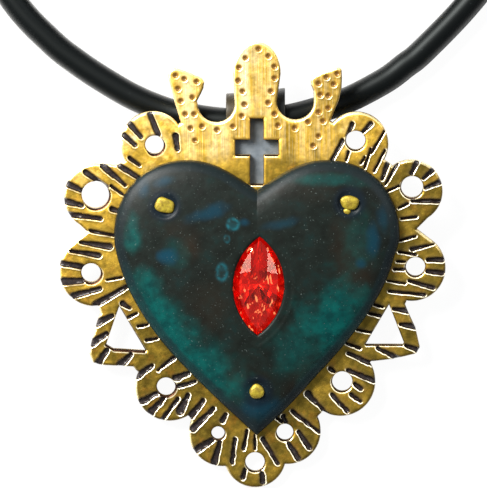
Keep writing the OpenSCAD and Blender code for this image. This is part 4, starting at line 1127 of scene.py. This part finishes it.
pavilion_facets = [(low_b, low_a, deep), (low_c, low_b, deep), (low_c, deep, culet), (low_c, culet, deep[j])]
crown_facets = np.vstack([np.column_stack(rows) for rows in crown_facets]).tolist()
pavilion_facets = np.vstack([np.column_stack(rows) for rows in pavilion_facets]).tolist()
table = [rim_of_table.tolist()]
ruby, tree, bsdf = new_material("red_stone_look")
feed(bsdf, {
    "Base Color": (1.0, 0.58, 0.52), "Transmission Weight": 1.0, "Roughness": 0.0, "IOR": 1.62,
    "Specular IOR Level": 0.36, "Specular Tint": (1.0, 0.66, 0.52)})
foil, tree, bsdf = new_material("foil_look")
# painted glints and a painted glow: the foil gives out light of its own, though it is no lamp
painted_glint = ramp(drift(tree, 1.0, 2.0, 0.5, (1.9, 0.9, 1)), [(0.63, 0.0), (0.67, 1.0)])
feed(bsdf, {
    "Base Color": (0.98, 0.07, 0.035), "Metallic": 1.0, "Roughness": 0.10,
    "Emission Color": mix(painted_glint, (1.0, 0.015, 0.008), (1.0, 0.42, 0.16)),
    "Emission Strength": mix(painted_glint, painted(tree, "painted_glow"), (1.1, 1.1, 1.1))})
stone = make_object("cut_stone", stone_points, table + crown_facets + pavilion_facets, ruby, smooth=False)
stone.data.materials.append(foil)
backed = np.arange(len(stone.data.polygons)) > len(crown_facets)
stone.data.polygons.foreach_set("material_index", backed.astype(int))
painted_glow = stone.data.attributes.new("painted_glow", "FLOAT", "FACE")
painted_glow.data.foreach_set("value", backed * (0.02 + 0.26 * np.random.default_rng(5).random(len(backed)) ** 1.5))
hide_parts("stone")
print("the stone has", len(stone.data.polygons), "facets")

# %% [markdown]
# Each rivet is a length of wire through both sheets, hammered over at both ends. The heads are not round:
# the hammer spread one nearly square and left a small nub beside another.

# %% Rivets
AROUND = 48
rivet_brass, tree, bsdf = new_material("rivet_look")
worn = ramp(drift(tree, 1.8, 4.0, 0.65), [(0.38, (0.14, 0.095, 0.005)), (0.60, (0.25, 0.19, 0.011))])
feed(bsdf, {
    "Base Color": worn, "Metallic": 0.55, "Roughness": 0.5,
    "Normal": bump(drift(tree, 2.6, 3.0, 0.6), 0.6, 0.08)})
# each head: half width, half height, turn, squareness, seed
HEADS = [(1.10, 0.83, -18, 3.0, 2), (1.05, 0.80, -8, 2.3, 6), (0.84, 0.84, 0, 2.0, 9)]
TAIL = (0.95, 0.90, 10, 2.1, 5)
NUB = (0.46, 0.42, 0, 2.0, 4)
TAIL_ROWS = [(0.2, -0.45), (0.6, -0.43), (0.88, -0.33), (1.0, -0.15), (0.96, 0.0)]
HEAD_ROWS = [(0.96, 0.0), (1.0, 0.12), (0.98, 0.27), (0.91, 0.37), (0.75, 0.43), (0.5, 0.46), (0.2, 0.47)]
NUB_ROWS = [(0.3, -0.1), (1.0, -0.05), (0.95, 0.12), (0.7, 0.24), (0.3, 0.28)]
SHANK_R = 0.7
# how far the head's underside is below the dome it was hammered into
SEAT_DOWN = 0.24
NUB_AT = (-0.30, -1.02)


def hammered(head):
    """The outline of a hammered head: an oval of power square whose edge wavers a little."""
    rx, ry, turned_by, square, seed = head
    angle = 2 * math.pi * np.arange(AROUND) / AROUND
    x, y = turned(angle).T
    r = (np.abs(x) ** square + np.abs(y) ** square) ** (-1 / square)
    r *= 1 + 0.035 * np.sin(3 * angle + seed) + 0.02 * np.sin(5 * angle + 2 * seed)
    return spun(np.column_stack([rx * r * x, ry * r * y]), turned_by)


def stacked(outline, rows, centre, base):
    """Copies of an outline round a centre, one for each (share, height) of rows."""
    p = np.array([share for share, _ in rows])[:, None, None] * outline + centre
    z = base + np.array([rise for _, rise in rows])[:, None, None] + np.zeros((1, AROUND, 1))
    return np.concatenate([p, z], axis=2).reshape(-1, 3)


for name, spot, head in zip(("rivet_left", "rivet_right", "rivet_bottom"), rivet_spots, HEADS):
    seat = spot[2] - SEAT_DOWN
    shank = SHANK_R * turned(2 * math.pi * np.arange(AROUND) / AROUND)
    points = np.vstack([
        stacked(hammered(TAIL), TAIL_ROWS, spot[:2], 0.0),
        stacked(shank, [(1, 0.0), (1, seat)], spot[:2], 0.0),
        stacked(hammered(head), HEAD_ROWS, spot[:2], seat)])
    on_head = np.abs(points[:, 2] - seat / 2) > seat / 2 + 0.1
    points[:, 2] += 0.03 * drifting(points, 0.55, head[4]) * on_head
    faces = closed_run(len(points) // AROUND, AROUND)
    if name == "rivet_right":
        nub = stacked(hammered(NUB), NUB_ROWS, spot[:2] + NUB_AT, seat)
        faces += [[len(points) + i for i in face] for face in closed_run(len(NUB_ROWS), AROUND)]
        points = np.vstack([points, nub])
    obj = make_object(name + "_hammered", points, faces, rivet_brass)
    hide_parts(name)
print("three rivets are in")

# %% [markdown]
# The bail is a strip folded into a loop behind the crown. Its line is drawn from the side, and the strip
# is half its thickness to each side of that line, with its long edges rounded.

# %% The bail
BAIL_W, BAIL_T, CORNER_R = 7.0, 0.6, 0.15
LOOP_R, BEND_R = 2.0, 1.0
# the loop slopes up to the right, more steeply in its right half, which is narrower too
LEAN_FROM, LEAN_OVER, LEAN_LEFT, LEAN_RIGHT, NARROWER = 13, 4, 0.05, 0.13, 0.3
# the part of the strip seen through the cross is painted paler, as if lit: below this height and within this
# half width
SLATE_TOP, SLATE_FADE, SLATE_HALF = 17.4, 0.8, 2.8
SLATE_EDGES = (2.9, 2.6, -2.6, -2.9)
FRONT_Z = -BAIL_T / 2
BACK_Z = FRONT_Z - 2 * LOOP_R
TAIL_Z = FRONT_Z - BAIL_T
SLOPE = 50
BAIL_HEEL, BAIL_FOOT, BAIL_TAIL = 14.9, 7.5, 8.6
slope = math.radians(SLOPE)
rise = (TAIL_Z - BEND_R + BEND_R * math.cos(slope)) - (BACK_Z + BEND_R - BEND_R * math.cos(slope))
TAIL_BEND = BAIL_HEEL - 2 * BEND_R * math.sin(slope) - rise / math.tan(slope)
line = np.array(
    [(BAIL_FOOT, FRONT_Z), (BAIL_FOOT + 4, FRONT_Z)]
    + arc(BAIL_TOP, FRONT_Z - LOOP_R, LOOP_R, LOOP_R, 90, -90, 28)
    + arc(BAIL_HEEL, BACK_Z + BEND_R, BEND_R, BEND_R, -90, -90 - SLOPE, 10)
    + arc(TAIL_BEND, TAIL_Z - BEND_R, BEND_R, BEND_R, 90 - SLOPE, 90, 10) + [(BAIL_TAIL, TAIL_Z)])
step = np.gradient(line, axis=0)
side = np.column_stack([-step[:, 1], step[:, 0]]) / np.linalg.norm(step, axis=1)[:, None]
in_x, in_y = BAIL_W / 2 - CORNER_R, BAIL_T / 2 - CORNER_R
half = (arc(in_x, in_y, CORNER_R, CORNER_R, 0, 90, 4) + [(x, BAIL_T / 2) for x in SLATE_EDGES]
        + arc(-in_x, in_y, CORNER_R, CORNER_R, 90, 180, 4))
section = np.array(half + [(-x, -y) for x, y in half])
strip = line[:, None] + side[:, None] * section[None, :, 1:]
across = np.broadcast_to(section[None, :, :1], strip.shape[:2] + (1,))
bail_points = np.concatenate([across, strip], axis=2).reshape(-1, 3)
x, y = bail_points[:, 0], bail_points[:, 1]
lean = ease((y - LEAN_FROM) / LEAN_OVER)
y += lean * np.where(x > 0, LEAN_RIGHT, LEAN_LEFT) * x
x -= NARROWER * lean * ease(2 * x / BAIL_W)
bail_faces = closed_run(len(line), len(section))
bronze, tree, bsdf = new_material("bail_look")
dull = mix(painted(tree, "left"), (0.0030, 0.0045, 0.0048), (0.014, 0.0105, 0.0045))
# where the strip shows through the cross it is painted a paler slate, standing in for light that reaches it
painted_lit_slate = ramp(drift(tree, 1.4, 3.0, 0.6), [(0.35, (0.065, 0.078, 0.090)), (0.65, (0.095, 0.110, 0.126))])
feed(bsdf, {
    "Base Color": mix(painted(tree, "low"), dull, painted_lit_slate), "Metallic": 0.2, "Roughness": 0.45,
    "Specular IOR Level": 0.25})
bail = make_object("folded_bail", bail_points, bail_faces, bronze)
bail.data.set_sharp_from_angle(angle=0.9)
paint(bail, "left", x < 0)
paint(bail, "low", ease((SLATE_TOP - y) / SLATE_FADE) * (np.abs(x) < SLATE_HALF))
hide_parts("bail")
print("the bail has", len(bail_faces), "faces")

# %% [markdown]
# The two end caps keep their CAD shapes. They only get a better metal.

# %% End caps
cap_metal, tree, bsdf = new_material("cap_look")
feed(bsdf, {"Base Color": (0.72, 0.52, 0.17), "Metallic": 1.0, "Roughness": 0.28})
for name in ("cap_hook", "cap_eye"):
    for node_slot in bpy.data.objects[name].material_slots:
        node_slot.material = cap_metal
print("caps are dressed")

# %% [markdown]
# The stage is a pale floor. It glows white for the camera alone, so the picture has the plain white ground
# of the photograph, and only a trace of shadow shows on it.

# %% Floor
FLOOR_SIZE, FLOOR_Z = 6, -0.0002
GLOW_SHARE = 0.95
floor_material, tree, bsdf = new_material("floor_look")
feed(bsdf, {"Base Color": (0.85, 0.85, 0.85), "Roughness": 0.9})
glow = feed(add(tree, "ShaderNodeEmission"), {"Color": (1, 1, 1), "Strength": 1.0})
seen = times(add(tree, "ShaderNodeLightPath").outputs["Is Camera Ray"], GLOW_SHARE)
blend = feed(add(tree, "ShaderNodeMixShader"), {0: seen, 1: bsdf.outputs[0], 2: glow.outputs[0]})
feed(tree.nodes["Material Output"], {"Surface": blend.outputs[0]})
bpy.ops.mesh.primitive_plane_add(size=FLOOR_SIZE, location=(0, 0, FLOOR_Z))
floor = bpy.context.object
floor.name = "floor"
floor.data.materials.append(floor_material)
print("the floor is", tuple(round(d, 1) for d in floor.dimensions[:2]), "m")

# %% [markdown]
# Light: a key lamp from the upper left, which makes the bright edge along every stroke, two windows at the
# left and the right, which the upper facets of the stone mirror, and a pale surrounding for the metal.

# %% Lights and surroundings
world = bpy.data.worlds.new("studio")
bpy.context.scene.world = world
world.use_nodes = True
feed(world.node_tree.nodes["Background"], {"Color": (0.80, 0.85, 0.92), "Strength": 0.5})


def lamp(name, direction, distance, size, power, colour=(1, 1, 1)):
    """A square lamp that looks at the pendant from direction (right, up the pendant, out of the plate)."""
    data = bpy.data.lights.new(name, "AREA")
    data.shape = "SQUARE"
    data.size = size
    data.energy = power
    data.color = colour
    way = (ACROSS * direction[0] + UPWARD * direction[1] + NORMAL * direction[2]).normalized()
    turn = way.to_track_quat("Z", "Y").to_matrix().to_4x4()
    into_scene(name, data).matrix_world = Matrix.Translation(aim + way * distance) @ turn


lamp("key", (-0.60, 0.62, 0.75), 0.28, 0.12, 3.6, (1.0, 0.98, 0.94))
lamp("window_left", (-0.66, 0.36, 0.66), 0.5, 0.22, 1.1)
lamp("window_right", (0.64, 0.36, 0.67), 0.5, 0.22, 1.1, (0.95, 0.97, 1.0))
bpy.context.scene.view_settings.view_transform = "Standard"
print("the studio is lit")
